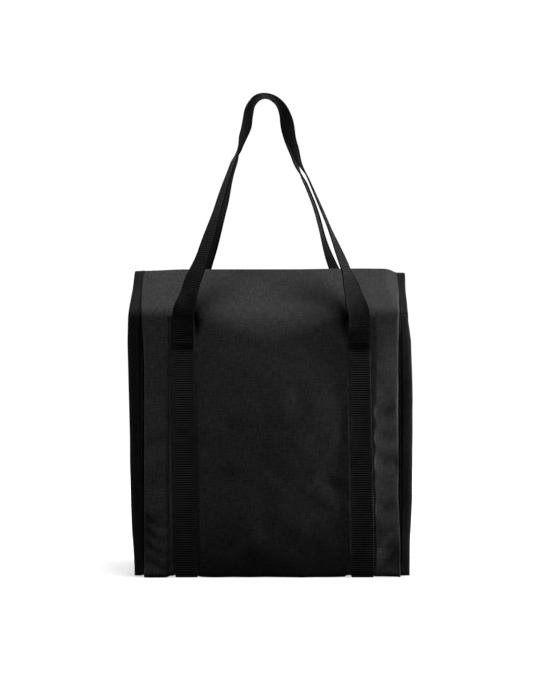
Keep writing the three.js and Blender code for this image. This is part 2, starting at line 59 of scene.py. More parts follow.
# Sizes taken from the frame
HALF_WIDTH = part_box("front_panel")[1].x
FLAP_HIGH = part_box("front_flap")[1]
RIDGE_OUT = -FLAP_HIGH.y
RIDGE_HEIGHT = FLAP_HIGH.z
STRAP_LOW, STRAP_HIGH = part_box("right_strap")
STRAP_CENTRE = (STRAP_LOW.x + STRAP_HIGH.x) / 2
SEWN_HEIGHT = STRAP_HIGH.z
JOINTS = {joint["name"]: joint for joint in frame["joints"]}
WALL_HEIGHT = JOINTS["lid_front"]["pos_m"][2]
HALF_DEPTH = -JOINTS["lid_front"]["pos_m"][1]
FOLD_HINGE = JOINTS["fold_right"]["pos_m"]
LID_ANGLE = math.atan2(RIDGE_HEIGHT - WALL_HEIGHT, HALF_DEPTH - RIDGE_OUT)
SLOPE_LENGTH = math.hypot(RIDGE_HEIGHT - WALL_HEIGHT, HALF_DEPTH - RIDGE_OUT)

# The two walls and the two sides, with their directions along Y and X
WALLS = (("front", -1), ("back", 1))
HANDS = (("left", -1), ("right", 1))
CORNERS = [(*wall, *hand) for wall in WALLS for hand in HANDS]

# Webbing
WEB_WIDTH = 25 * MM
WEB_THICKNESS = 1.7 * MM
RIB_PITCH = 2.6 * MM
HANDLE_FOOT = 264.5 * MM
OUTBOARD_STITCH = 116 * MM
STRAP_DRIFT = 4 * MM
STRAP_SINK = 1.2 * MM

# Cloth
CLOTH = 1.1 * MM
WEB_CLOTH = 1.6 * MM
LINING = 0.8 * MM
PADDING = 6.0 * MM
SEAM_ROLL = 0.8 * MM
SEAM_DROP = 6.5 * MM
STRIP_FALL = 2.2 * MM
PANEL_EDGE = HALF_WIDTH - 1.4 * MM
BASE_LIFT = 1.9 * MM
PILLOW_DEPTH = 3.4 * MM
PILLOW_PEAK_SHARE = 0.5
PILLOW_HALF_WIDTH = 86 * MM
FOOT_RADIUS = 4.5 * MM
HEM_RADIUS = 1.4 * MM
# Rows of the wall's grid that turn under its foot, and those from the ridge to the end of the hem
FOOT_ROWS = 8
RIDGE_ROWS = 10

# Bound seams
TAPE_WIDTH = 11.6 * MM
TAPE_HALF_THICKNESS = 1.9 * MM
SEAM_CLEARANCE = 2.4 * MM

# Camera, in front of the front panel
CAMERA_DISTANCE = 2720 * MM
CAMERA_HEIGHT = 264 * MM
VIEW_HEIGHT = 782 * MM
SENSOR = 36.0


def smooth(t):
    """An even rise from 0 to 1."""
    t = np.clip(t, 0.0, 1.0)
    return t * t * (3 - 2 * t)


def bell(distance, width):
    """1 at no distance, and falling away over the width."""
    return np.exp(-((distance / width) ** 2))


def soft_noise(u, v, cell, seed):
    """Smooth random waves of about one, with hills about cell metres across."""
    rng = np.random.default_rng(seed)
    side = 64
    lattice = rng.standard_normal((side, side))
    a, b = np.asarray(u) / cell + 17.3, np.asarray(v) / cell + 9.1
    i, j = np.floor(a).astype(int), np.floor(b).astype(int)
    fa, fb = smooth(a - i), smooth(b - j)
    pick = lambda di, dj: lattice[(i + di) % side, (j + dj) % side]
    low = pick(0, 0) * (1 - fa) + pick(1, 0) * fa
    high = pick(0, 1) * (1 - fa) + pick(1, 1) * fa
    return low * (1 - fb) + high * fb


def crease(u, v, at, angle, length, width, depth):
    """A soft valley (depth below 0) or ridge along a line through at, its angle in degrees from level."""
    c, s = math.cos(math.radians(angle)), math.sin(math.radians(angle))
    along = (u - at[0]) * c + (v - at[1]) * s
    across = -(u - at[0]) * s + (v - at[1]) * c
    return depth * bell(along, length) * bell(across, width)


def press_creases(heights, u, v, table):
    """Adds creases to the heights. A row is u, v, angle, length, width and depth, with lengths in mm."""
    for at_u, at_v, angle, length, width, depth in table:
        heights += crease(u, v, (at_u * MM, at_v * MM), angle, length * MM, width * MM, depth * MM)


# Materials


class Nodes:
    """Makes and links the nodes of one material or world."""

    def __init__(self, owner):
        owner.use_nodes = True
        self.tree = owner.node_tree

    def node(self, kind, **values):
        made = self.tree.nodes.new(kind)
        for key, value in values.items():
            setattr(made, key, value)
        return made

    def link(self, source, target):
        self.tree.links.new(source, target)

    def math(self, operation, a, b=None):
        made = self.node("ShaderNodeMath", operation=operation)
        for index, value in enumerate((a, b)):
            if isinstance(value, (int, float)):
                made.inputs[index].default_value = value
            elif value is not None:
                self.link(value, made.inputs[index])
        return made.outputs[0]

    def times(self, a, b):
        return self.math("MULTIPLY", a, b)

    def plus(self, a, b):
        return self.math("ADD", a, b)

    def map_range(self, value, low, high, start=0.0, end=1.0):
        """Low where the value is at start, high where it is at end."""
        made = self.node("ShaderNodeMapRange")
        for key, number in (("From Min", start), ("From Max", end), ("To Min", low), ("To Max", high)):
            made.inputs[key].default_value = number
        self.link(value, made.inputs["Value"])
        return made.outputs[0]

    def seen_by_eye(self):
        """1 for camera, glossy and transmission rays, 0 for the light that reaches the object."""
        path = self.node("ShaderNodeLightPath").outputs
        first = self.math("MAXIMUM", path["Is Camera Ray"], path["Is Glossy Ray"])
        return self.math("MAXIMUM", first, path["Is Transmission Ray"])


class Shader(Nodes):
    """Builds one material round its Principled shader."""

    def __init__(self, name, color, roughness, specular, sheen=0.0, metallic=0.0):
        self.material = bpy.data.materials.new(name)
        super().__init__(self.material)
        self.bsdf = self.tree.nodes["Principled BSDF"]
        values = {"Base Color": (*color, 1), "Roughness": roughness, "Specular IOR Level": specular}
        values.update({"Sheen Weight": sheen, "Sheen Roughness": 0.45, "Metallic": metallic})
        for socket, value in values.items():
            self.bsdf.inputs[socket].default_value = value

    def feed(self, socket, source):
        self.link(source, self.bsdf.inputs[socket])

    def uv(self):
        split = self.node("ShaderNodeSeparateXYZ")
        self.link(self.node("ShaderNodeUVMap").outputs[0], split.inputs[0])
        return split.outputs[0], split.outputs[1]

    def place(self):
        return self.node("ShaderNodeTexCoord").outputs["Object"]

    def noise(self, scale, detail, roughness, vector=None):
        made = self.node("ShaderNodeTexNoise")
        made.inputs["Scale"].default_value = scale
        made.inputs["Detail"].default_value = detail
        made.inputs["Roughness"].default_value = roughness
        self.link(vector or self.place(), made.inputs["Vector"])
        return made.outputs["Fac"]

    def stretched(self, u, v, along_u, along_v):
        made = self.node("ShaderNodeCombineXYZ")
        self.link(self.times(u, along_u), made.inputs[0])
        self.link(self.times(v, along_v), made.inputs[1])
        return made.outputs[0]

    def ramp(self, factor, stops):
        made = self.node("ShaderNodeValToRGB")
        self.link(factor, made.inputs[0])
        elements = made.color_ramp.elements
        while len(elements) < len(stops):
            elements.new(0.5)
        for element, (position, color) in zip(elements, stops):
            element.position = position
            element.color = (*color, 1)
        return made.outputs[0]

    def blend_color(self, factor, a, b):
        made = self.node("ShaderNodeMix", data_type="RGBA")
        self.link(factor, made.inputs["Factor"])
        for socket, value in ((made.inputs[6], a), (made.inputs[7], b)):
            if isinstance(value, tuple):
                socket.default_value = (*value, 1)
            else:
                self.link(value, socket)
        return made.outputs[2]

    def bump(self, height, distance, strength, under=None):
        made = self.node("ShaderNodeBump")
        made.inputs["Strength"].default_value = strength
        made.inputs["Distance"].default_value = distance
        self.link(height, made.inputs["Height"])
        if under is not None:
            self.link(under, made.inputs["Normal"])
        return made.outputs[0]


def shade(color, factor):
    """The colour made darker or lighter."""
    return tuple(value * factor for value in color)


def woven(name, color, pitch, depth, roughness=0.62):
    """Plain-weave cloth: yarns over and under each other, uneven yarns both ways, painted shade where the yarns
    dip under, and a little lint.
    """
    s = Shader(name, color, roughness, specular=0.01, sheen=0.02)
    u, v = s.uv()
    turn = 2 * math.pi / pitch
    warp = s.math("SINE", s.times(u, turn))
    weft = s.math("SINE", s.times(v, turn))
    weave = s.times(warp, weft)
    level_yarns = s.noise(1, 2.0, 0.6, s.stretched(u, v, 1 / (10 * MM), 1 / (1.5 * MM)))
    upright_yarns = s.noise(1, 2.0, 0.6, s.stretched(u, v, 1 / (1.5 * MM), 1 / (10 * MM)))
    yarns = s.times(s.plus(level_yarns, upright_yarns), 0.5)
    s.feed("Normal", s.bump(s.plus(weave, s.times(yarns, 3.0)), depth, 0.8))
    mottle = s.noise(38, 4.0, 0.6)
    base = s.ramp(yarns, [(0.38, shade(color, 0.5)), (0.62, shade(color, 1.6))])
    base = s.blend_color(s.times(mottle, 0.5), base, color)
    # Painted shade: the colour darkens where the weave dips under.
    painted_weave_shade = s.blend_color(s.plus(s.times(weave, 0.3), 0.7), shade(color, 0.6), base)
    lint = s.times(s.math("GREATER_THAN", s.noise(900, 1.0, 0.5), 0.735), 0.2)
    s.feed("Base Color", s.blend_color(lint, painted_weave_shade, shade(color, 3.2)))
    s.feed("Roughness", s.plus(s.times(mottle, 0.16), roughness - 0.08))
    return s.material


def ribbed(name, color, pitch, yarn, depth, roughness):
    """Webbing, tape or thread: ribs across the band, with twill yarns that slant on each rib, and painted shade in
    the grooves between them.
    """
    s = Shader(name, color, roughness, specular=0.012, sheen=0.01)
    u, v = s.uv()
    rib = s.math("COSINE", s.times(v, 2 * math.pi / pitch))
    slant = s.plus(s.times(u, 2 * math.pi / yarn), s.times(v, math.pi / yarn))
    height = s.plus(s.times(rib, 0.8), s.times(s.math("SINE", slant), 0.45))
    s.feed("Normal", s.bump(height, depth, 0.8))
    # Painted shade: the colour falls nearly to black in the grooves between ribs and yarns, and keeps its mottled
    # tone on their tops.
    groove = s.times(s.plus(height, 1.25), 0.4)
    lit = s.ramp(s.noise(70, 4.0, 0.6), [(0.3, shade(color, 0.85)), (0.75, shade(color, 1.35))])
    s.feed("Base Color", s.blend_color(groove, shade(color, 0.04), lit))
    return s.material


def foil(name, color):
    """Metallised lining with fine crumples."""
    s = Shader(name, color, 0.34, 0.5, metallic=0.75)
    crumple = s.noise(55, 6.0, 0.62)
    fine = s.noise(240, 3.0, 0.5)
    s.feed("Normal", s.bump(fine, 0.3 * MM, 0.5, s.bump(crumple, 1.2 * MM, 0.55)))
    s.feed("Base Color", s.ramp(crumple, [(0.3, shade(color, 0.82)), (0.7, shade(color, 1.12))]))
    s.feed("Roughness", s.plus(s.times(fine, 0.2), 0.24))
    return s.material


def plain(name, color, roughness, grain, depth, specular=0.4, metallic=0.0):
    """Foam, board, nylon coil or painted zinc, with a grain of its own, lighter where the grain stands high and
    darker in its dips.
    """
    s = Shader(name, color, roughness, specular, metallic=metallic)
    grains = s.noise(grain, 4.0, 0.6)
    s.feed("Normal", s.bump(grains, depth, 0.6))
    s.feed("Base Color", s.ramp(grains, [(0.3, shade(color, 0.85)), (0.72, shade(color, 1.2))]))
    s.feed("Roughness", s.plus(s.times(grains, 0.2), roughness - 0.1))
    return s.material


BLACK = (0.0300, 0.0298, 0.0300)
MATERIALS = {
    "nylon": woven("shell cloth", BLACK, 0.95 * MM, 0.12 * MM),
    "gusset_cloth": woven("gusset cloth", shade(BLACK, 0.85), 0.95 * MM, 0.12 * MM),
    "binding": ribbed("binding tape", shade(BLACK, 0.42), 1.3 * MM, 0.7 * MM, 0.09 * MM, 0.55),
    "webbing": ribbed("webbing", shade(BLACK, 1.12), RIB_PITCH, 0.9 * MM, 0.14 * MM, 0.52),
    # Painted shade: the handles use the straps' webbing, painted about three times darker than the straps' own.
    "handle_webbing": ribbed("handle webbing", shade(BLACK, 0.34), RIB_PITCH, 0.9 * MM, 0.14 * MM, 0.52),
    "thread": ribbed("thread", shade(BLACK, 0.6), 0.9 * MM, 0.5 * MM, 0.06 * MM, 0.42),
    "foam": plain("foam", (0.68, 0.68, 0.64), 0.9, 700, 0.3 * MM, 0.2),
    "foil": foil("foil lining", (0.46, 0.47, 0.49)),
    "board": plain("base board", (0.03, 0.03, 0.03), 0.6, 300, 0.1 * MM),
    "zip_tape": woven("zip tape", shade(BLACK, 0.7), 0.7 * MM, 0.07 * MM, 0.6),
    "zip_chain": plain("nylon coil", (0.012, 0.012, 0.012), 0.35, 500, 0.04 * MM, 0.5),
    "zip_metal": plain("painted zinc", (0.02, 0.02, 0.021), 0.32, 220, 0.05 * MM, 0.5, 0.6),
}


# Mesh building


def add_object(name, data, place=(0, 0, 0)):
    """Puts a mesh, lamp or camera into the scene."""
    obj = bpy.data.objects.new(name, data)
    obj.location = place
    bpy.context.scene.collection.objects.link(obj)
    return obj


def new_piece(name, verts, faces, uvs, slot):
    """A mesh from numpy rows of vertices, lists of faces and one UV pair per vertex, in metres."""
    mesh = bpy.data.meshes.new(name)
    mesh.from_pydata(np.asarray(verts, float).tolist(), [], faces)
    layer = mesh.uv_layers.new(name="UVMap")
    corner = np.zeros(len(mesh.loops), int)
    mesh.loops.foreach_get("vertex_index", corner)
    layer.data.foreach_set("uv", np.asarray(uvs, float)[corner].ravel())
    mesh.polygons.foreach_set("use_smooth", np.ones(len(mesh.polygons), bool))
    mesh.materials.append(MATERIALS[slot])
    mesh.update()
    obj = add_object(name, mesh)
    return obj


def grid_normals(points):
    """Unit normals of a grid of points, along the rows crossed with up the columns."""
    along = np.gradient(points, axis=1)
    up = np.gradient(points, axis=0)
    normal = np.cross(along, up)
    return normal / np.maximum(np.linalg.norm(normal, axis=2, keepdims=True), 1e-12)


def sheet_from_grid(name, points, thickness, slot, flip, uv=None):
    """A closed sheet: the grid is its outer face and the other face lies thickness behind it."""
    rows, columns = points.shape[:2]
    normal = grid_normals(points) * (-1 if flip else 1)
    verts = np.concatenate([points.reshape(-1, 3), (points - normal * thickness).reshape(-1, 3)])
    if uv is None:
        step_u = np.linalg.norm(np.diff(points, axis=1), axis=2)
        step_v = np.linalg.norm(np.diff(points, axis=0), axis=2)
        u = np.concatenate([np.zeros((rows, 1)), np.cumsum(step_u, axis=1)], axis=1)
        v = np.concatenate([np.zeros((1, columns)), np.cumsum(step_v, axis=0)], axis=0)
        uv = np.stack([u - u.mean(axis=1, keepdims=True), v], axis=2)
    uvs = np.concatenate([uv.reshape(-1, 2), uv.reshape(-1, 2)])
    at = lambda r, c, back: r * columns + c + (rows * columns if back else 0)
    end = columns - 1
    faces = []

    def add(*corners):
        faces.append(corners[::-1] if flip else corners)

    for r in range(rows - 1):
        for c in range(columns - 1):
            add(at(r, c, 0), at(r, c + 1, 0), at(r + 1, c + 1, 0), at(r + 1, c, 0))
            add(at(r, c, 1), at(r + 1, c, 1), at(r + 1, c + 1, 1), at(r, c + 1, 1))
    for c in range(columns - 1):
        add(at(0, c, 0), at(0, c, 1), at(0, c + 1, 1), at(0, c + 1, 0))
        add(at(rows - 1, c, 0), at(rows - 1, c + 1, 0), at(rows - 1, c + 1, 1), at(rows - 1, c, 1))
    for r in range(rows - 1):
        add(at(r, 0, 0), at(r + 1, 0, 0), at(r + 1, 0, 1), at(r, 0, 1))
        add(at(r, end, 0), at(r, end, 1), at(r + 1, end, 1), at(r + 1, end, 0))
    return new_piece(name, verts, faces, uvs, slot)


def lengths_along(points):
    """Distance of each point of a polyline from its start."""
    return np.concatenate([[0], np.cumsum(np.linalg.norm(np.diff(points, axis=0), axis=1))])


def resample(points, step):
    """Evenly spaced points along a polyline, and their distances from its start."""
    points = np.asarray(points, float)
    total = lengths_along(points)
    count = max(2, int(round(total[-1] / step)) + 1)
    at = np.linspace(0, total[-1], count)
    return np.stack([np.interp(at, total, points[:, k]) for k in range(points.shape[1])], axis=1), at


def unit(vectors):
    """The vectors, each made one metre long."""
    return vectors / np.maximum(np.linalg.norm(vectors, axis=-1, keepdims=True), 1e-12)


def repeated(vector, count):
    """The vector in count rows."""
    return np.repeat(np.array([vector], float), count, axis=0)


def running_mean(rows, count):
    """The rows, each column of them smoothed over count neighbours."""
    kernel = np.ones(count) / count
    columns = [np.convolve(np.pad(column, count // 2, "edge"), kernel, "valid") for column in rows.T]
    return np.stack(columns, axis=1)


def tube_faces(first, rings, sides):
    """Faces of a closed tube, whose rings of vertices follow each other from the index first."""
    last = first + (rings - 1) * sides
    faces = []
    for a in range(first, last, sides):
        for k in range(sides):
            n = (k + 1) % sides
            faces.append((a + k, a + n, a + sides + n, a + sides + k))
    return faces + [tuple(range(first, first + sides))[::-1], tuple(range(last, last + sides))]


def sweep(name, centres, across, facing, section, slot, along=None, relief=None):
    """A closed band: section is a ring of (across, facing) offsets, one ring or one per station."""
    stations = len(centres)
    section = np.asarray(section, float)
    if section.ndim == 2:
        section = np.repeat(section[None], stations, axis=0)
    count = section.shape[1]
    if relief is not None:
        section[:, :, 1] += relief
    verts = (
        centres[:, None, :]
        + section[:, :, :1] * across[:, None, :]
        + section[:, :, 1:] * facing[:, None, :]
    ).reshape(-1, 3)
    if along is None:
        along = lengths_along(centres)
    uvs = np.stack([section[:, :, 0], np.repeat(along[:, None], count, axis=1)], axis=2).reshape(-1, 2)
    piece = new_piece(name, verts, tube_faces(0, stations, count), uvs, slot)
    face_outwards(piece)
    return piece


def face_outwards(piece):
    """Turns every face of the closed piece outwards."""
    work = bmesh.new()
    work.from_mesh(piece.data)
    bmesh.ops.recalc_face_normals(work, faces=work.faces)
    work.to_mesh(piece.data)
    work.free()


def webbing_section(width, thickness):
    """Ring of a webbing band: flat faces, rounded selvages. Returns the ring and which points carry ribs."""
    half, deep = width / 2, thickness / 2
    edge = 0.25 * MM
    flat = np.linspace(-half + edge + 0.5 * MM, half - edge - 0.5 * MM, 5)
    flat = np.array([-half + edge, *flat, half - edge])
    top = [(a, deep) for a in flat]
    bottom = [(a, -deep) for a in flat[::-1]]
    right = [(half - 0.08 * MM, deep * 0.8), (half, 0.0), (half - 0.08 * MM, -deep * 0.8)]
    left = [(-half + 0.08 * MM, -deep * 0.8), (-half, 0.0), (-half + 0.08 * MM, deep * 0.8)]
    ring = np.array(top + right + bottom + left)
    ribs = np.array([0.1] + [1] * 5 + [0.1] + [0] * 3 + [-0.1] + [-1] * 5 + [-0.1] + [0] * 3)
    return ring, ribs


def webbing_band(name, centres, across, facing, slot="webbing"):
    """Webbing with real ribs: stations every quarter of a rib."""
    ring, carry = webbing_section(WEB_WIDTH, WEB_THICKNESS)
    along = lengths_along(centres)
    wave = np.cos(2 * math.pi * along / RIB_PITCH)
    relief = -0.42 * MM * (1 - wave)[:, None] / 2 * carry[None, :]
    return sweep(name, centres, across, facing, ring, slot, along, relief)


# Rings of one stitch: its place along the stitch, its lift in thread radii and its share of the full radius
STITCH_RINGS = ((-0.5, -0.55, 0.55), (-0.3, 0.2, 1.0), (0.0, 0.45, 1.08), (0.3, 0.2, 1.0), (0.5, -0.55, 0.55))


def stitches(name, runs, radius, pitch=3.2 * MM, length=2.4 * MM):
    """Rows of thread as small arched strands. Each run is a pair: its points and their outward directions."""
    verts, faces, uvs = [], [], []
    sides = 6
    for points, outward in runs:
        line, _ = resample(np.concatenate([points, outward], axis=1), pitch)
        spots, away = line[:, :3], unit(line[:, 3:])
        heading = unit(np.gradient(spots, axis=0))
        sideways = unit(np.cross(heading, away))
        for spot, up, ahead, aside in zip(spots[:-1], away[:-1], heading[:-1], sideways[:-1]):
            first = len(verts)
            for share, lift, size in STITCH_RINGS:
                middle = spot + ahead * (length * share) + up * (radius * lift)
                for k in range(sides):
                    angle = 2 * math.pi * k / sides
                    offset = aside * math.cos(angle) + up * math.sin(angle)
                    verts.append(middle + offset * radius * size)
                    uvs.append((radius * angle, length * share))
            faces += tube_faces(first, len(STITCH_RINGS), sides)
    piece = new_piece(name, verts, faces, uvs, "thread")
    face_outwards(piece)
    return piece


# The shape of the front and back walls with their half of the lid


def crease_height(x):
    """The fold under the lid hangs lower between the straps than at the seams."""
    return WALL_HEIGHT + 4 * MM - 11 * MM * np.cos(np.clip(x / (105 * MM), -1, 1) * math.pi / 2) ** 2


def crease_softness(x):
    """The fold is round between the straps and sharper towards the seams."""
    return 10 * MM + 16 * MM * np.cos(np.clip(x / (110 * MM), -1, 1) * math.pi / 2) ** 2


def belly(x, z):
    """How far the wall stands out of its flat plane: a shallow bow, and a pillow between the straps."""
    share = np.clip((z - BASE_LIFT) / (WALL_HEIGHT - 1 * MM - BASE_LIFT), 0, 1)
    reach = np.where(share < PILLOW_PEAK_SHARE, PILLOW_PEAK_SHARE, 1 - PILLOW_PEAK_SHARE)
    power = np.where(share < PILLOW_PEAK_SHARE, 2.8, 2.0)
    bow = 1 - (np.abs(share - PILLOW_PEAK_SHARE) / reach) ** power
    pillow = 1 - np.clip(np.abs(x) / PILLOW_HALF_WIDTH, 0, 1) ** 2.6
    strip = 1 - np.clip((np.abs(x) - 104 * MM) / (60 * MM), 0, 1)
    return (1.2 * MM + 4.4 * MM * strip + PILLOW_DEPTH * pillow) * bow


def seam_fall(x):
    """The strip outside each strap falls away a little, and then rolls back into the seam."""
    strip = np.clip((np.abs(x) - 108 * MM) / (PANEL_EDGE - 108 * MM), 0, 1)
    near = np.clip((np.abs(x) - (PANEL_EDGE - SEAM_ROLL)) / SEAM_ROLL, 0, 1)
    return STRIP_FALL * strip**1.2 + (SEAM_DROP - STRIP_FALL) * (1 - np.sqrt(np.maximum(0, 1 - near**2.6)))


def edge_spread(x, z):
    """The cloth's side edges wander: both spread on the slope, and the right one at the foot."""
    left_heights, left_shifts = [240, 278, 290, 305, 328, 351], [0, -1.5, -2.3, -3.2, -5.2, -4.5]
    right_heights = [20, 42, 65, 88, 264, 290, 305, 328, 351]
    right_shifts = [2.7, 2.7, 1.8, 0.5, 0.5, 1.2, 1.8, 4.0, 3.2]
    left = np.interp(z / MM, left_heights, left_shifts)
    right = np.interp(z / MM, right_heights, right_shifts)
    return np.where(x < 0, left, right) * MM * smooth((np.abs(x) - 118 * MM) / (26 * MM))


def fall_share(to_ridge):
    """The side seams come up flush with the ridge."""
    return 0.2 + 0.8 * smooth(to_ridge / (40 * MM))


def ridge_sag(x):
    """The ridge drops a little at both ends, more at the right one."""
    right = 4.6 * MM * smooth((x - 127 * MM) / (18 * MM)) ** 2 - 1.0 * MM * smooth((x - 20 * MM) / (80 * MM))
    return right + 1.4 * MM * smooth((-x - 100 * MM) / (45 * MM))


def foot_level(x):
    """The foot of the wall hangs down to the floor except where a strap passes under it."""
    return BASE_LIFT - 1.6 * MM * smooth((np.abs(np.abs(x) - STRAP_CENTRE) - 13.2 * MM) / (3.5 * MM))


def wall_out(x, z):
    """Distance of the wall's face from the middle of the bag, below the crease."""
    return HALF_DEPTH + belly(x, z)


def wall_rows(x):
    """Points (out, z) of the outer face from under the base edge to the ridge and its hem, at one x."""
    fold = float(crease_height(x))
    low = float(foot_level(x))
    foot = float(wall_out(x, low + FOOT_RADIUS))
    inside = foot - FOOT_RADIUS
    rows = [(inside - 12 * MM, low), (inside - 4 * MM, low)]
    for k in range(6):
        angle = math.pi / 2 * k / 5
        rise = low + FOOT_RADIUS - FOOT_RADIUS * math.cos(angle)
        rows.append((inside + FOOT_RADIUS * math.sin(angle), rise))
    soften = float(crease_softness(x))
    for z in np.linspace(low + FOOT_RADIUS, fold - soften, 74)[1:]:
        rows.append((float(wall_out(x, z)), float(z)))
    start = np.array(rows[-1])
    ridge = np.array([RIDGE_OUT + 1.0 * MM, RIDGE_HEIGHT + 1.0 * MM - float(ridge_sag(x))])
    corner = np.array([float(wall_out(x, fold)), fold])
    slope = ridge - corner
    slope_way = slope / np.linalg.norm(slope)
    end = corner + slope_way * soften
    for k in range(1, 15):
        t = k / 14
        rows.append(tuple((1 - t) ** 2 * start + 2 * t * (1 - t) * corner + t * t * end))
    lift = np.array([slope_way[1], -slope_way[0]])
    pillow = 2.0 * MM * math.cos(min(1.0, abs(x) / HALF_WIDTH) * math.pi / 2) ** 0.7
    for k in range(1, 29):
        t = k / 28
        bulge = pillow * math.sin(math.pi * t) ** 1.5
        rows.append(tuple(end + (ridge - end) * t + lift * bulge))
    for k in range(1, 7):
        angle = math.pi * k / 6
        centre = ridge - lift * HEM_RADIUS
        turned = centre + lift * HEM_RADIUS * math.cos(angle)
        rows.append(tuple(turned + slope_way * HEM_RADIUS * math.sin(angle)))
    tail = np.array(rows[-1])
    for k in range(1, 4):
        rows.append(tuple(tail - slope_way * 3 * MM * k - lift * 0.6 * MM * k))
    return rows


def wall_grid():
    """The outer face of a wall and its lid half, as (x, out, z), with closer columns at straps and edges."""
    even = np.sin(np.linspace(-1, 1, 109) * math.pi / 2 * 0.88)
    even = even / math.sin(math.pi / 2 * 0.88) * PANEL_EDGE
    by_straps = np.concatenate([np.arange(82, 92, 1.1), np.arange(110, 120, 1.1)]) * MM
    inner = PANEL_EDGE - 2.6 * MM
    even = [v for v in even if np.abs(np.abs(v) - by_straps).min() > 0.8 * MM and abs(v) < inner]
    even += [-PANEL_EDGE, PANEL_EDGE]
    by_edge = PANEL_EDGE - np.array([0.3, 0.6, 0.9, 1.2, 1.6, 2.1]) * MM
    x = np.sort(np.concatenate([even, by_straps, -by_straps, by_edge, -by_edge]))
    grid = np.array([[(value, out, z) for out, z in wall_rows(value)] for value in x])
    return np.swapaxes(grid, 0, 1)


def strip_puckers(x, z):
    """Level dips in the strips between the straps and the side seams."""
    right = smooth((x - 107 * MM) / (15 * MM)) * smooth((PANEL_EDGE - x) / (20 * MM))
    left = smooth((-x - 114 * MM) / (14 * MM))
    right_dips = ((222, 0.6), (190, 1.0), (162, 1.3), (134, 1.3), (108, 0.7), (79, 1.4), (52, 0.6), (34, 1.1))
    waves = np.zeros_like(x)
    for height, depth in right_dips:
        above = z - height * MM - 0.16 * (x - 130 * MM)
        waves -= 1.1 * depth * MM * bell(above, 7.5 * MM) * right
    for height, depth in ((205, 0.4), (150, 0.5), (104, 0.6)):
        waves -= depth * MM * bell(z - height * MM, 8 * MM) * left
    return waves


def front_folds(x, z):
    """Folds and creases that the photograph shows on the front."""
    folds = strip_puckers(x, z)
    press_creases(folds, x, z, [(-131, height, -32, 19, 4.2, -1.8) for height in (62, 46, 30, 15)])
    press_creases(folds, x, z, ((76, 101, -40, 22, 6, -0.9), (60, 92, -28, 26, 7, 0.5)))
    press_creases(folds, x, z, ((131, 18, 45, 16, 6, -1.3), (118, 26, 62, 22, 5, 1.0)))
    return folds


def strap_dimples(x, z):
    """The pull of the handles lifts each strap's inner edge and leaves a hollow in the cloth beside it."""
    hollow = np.zeros_like(x)
    for hand, height, reach, depth, pull in ((-1, 285, 17, -9.5, -2.2), (1, 292, 20, -12.0, -3.2)):
        middle = hand * (STRAP_CENTRE - WEB_WIDTH / 2 + 1 * MM)
        hollow += crease(x, z, (middle, height * MM), 90, reach * MM, 6 * MM, depth * MM)
        above = (middle - hand * 9 * MM, (height + 8) * MM)
        hollow += crease(x, z, above, 90 + hand * 28, 28 * MM, 13 * MM, pull * MM)
    return hollow


def back_folds(x, z):
    """Other folds of the same kind, since the back isn't in view."""
    folds = np.zeros_like(x)
    press_creases(folds, x, z, ((-90, 60, 35, 26, 6, -1.2), (40, 80, 20, 26, 6, -0.9)))
    press_creases(folds, x, z, ((120, 40, -40, 26, 6, -1.4), (0, 200, 5, 26, 6, -0.7)))
    return folds


def wall_relief(x, z, side, seed):
    """Height of the cloth over the wall's shape: waves, folds, and dips where the straps are sewn on."""
    relief = 0.55 * MM * soft_noise(x, z, 62 * MM, seed) + 0.22 * MM * soft_noise(x, z, 19 * MM, seed + 1)
    relief += front_folds(x, z) if side < 0 else back_folds(x, z)
    relief += strap_dimples(x, z)
    for edge in (-1, 1):
        sewn = edge * (STRAP_CENTRE - WEB_WIDTH / 2 - 1.0 * MM) + strap_drift(z)
        relief -= 0.6 * MM * bell(x - sewn, 1.6 * MM) * smooth((SEWN_HEIGHT - z) / (6 * MM))
    outboard = bell(np.abs(x) - OUTBOARD_STITCH, 1.8 * MM) * smooth((SEWN_HEIGHT + 2 * MM - z) / (5 * MM))
    relief = relief * (1 - outboard) - 0.7 * MM * outboard
    from_strap = np.abs(np.abs(x - strap_drift(z)) - STRAP_CENTRE)
    under_strap = np.exp(-((from_strap / (13.6 * MM)) ** 14)) * smooth((SEWN_HEIGHT - z) / (6 * MM))
    return relief * (1 - under_strap) - (STRAP_SINK + 0.5 * MM) * under_strap


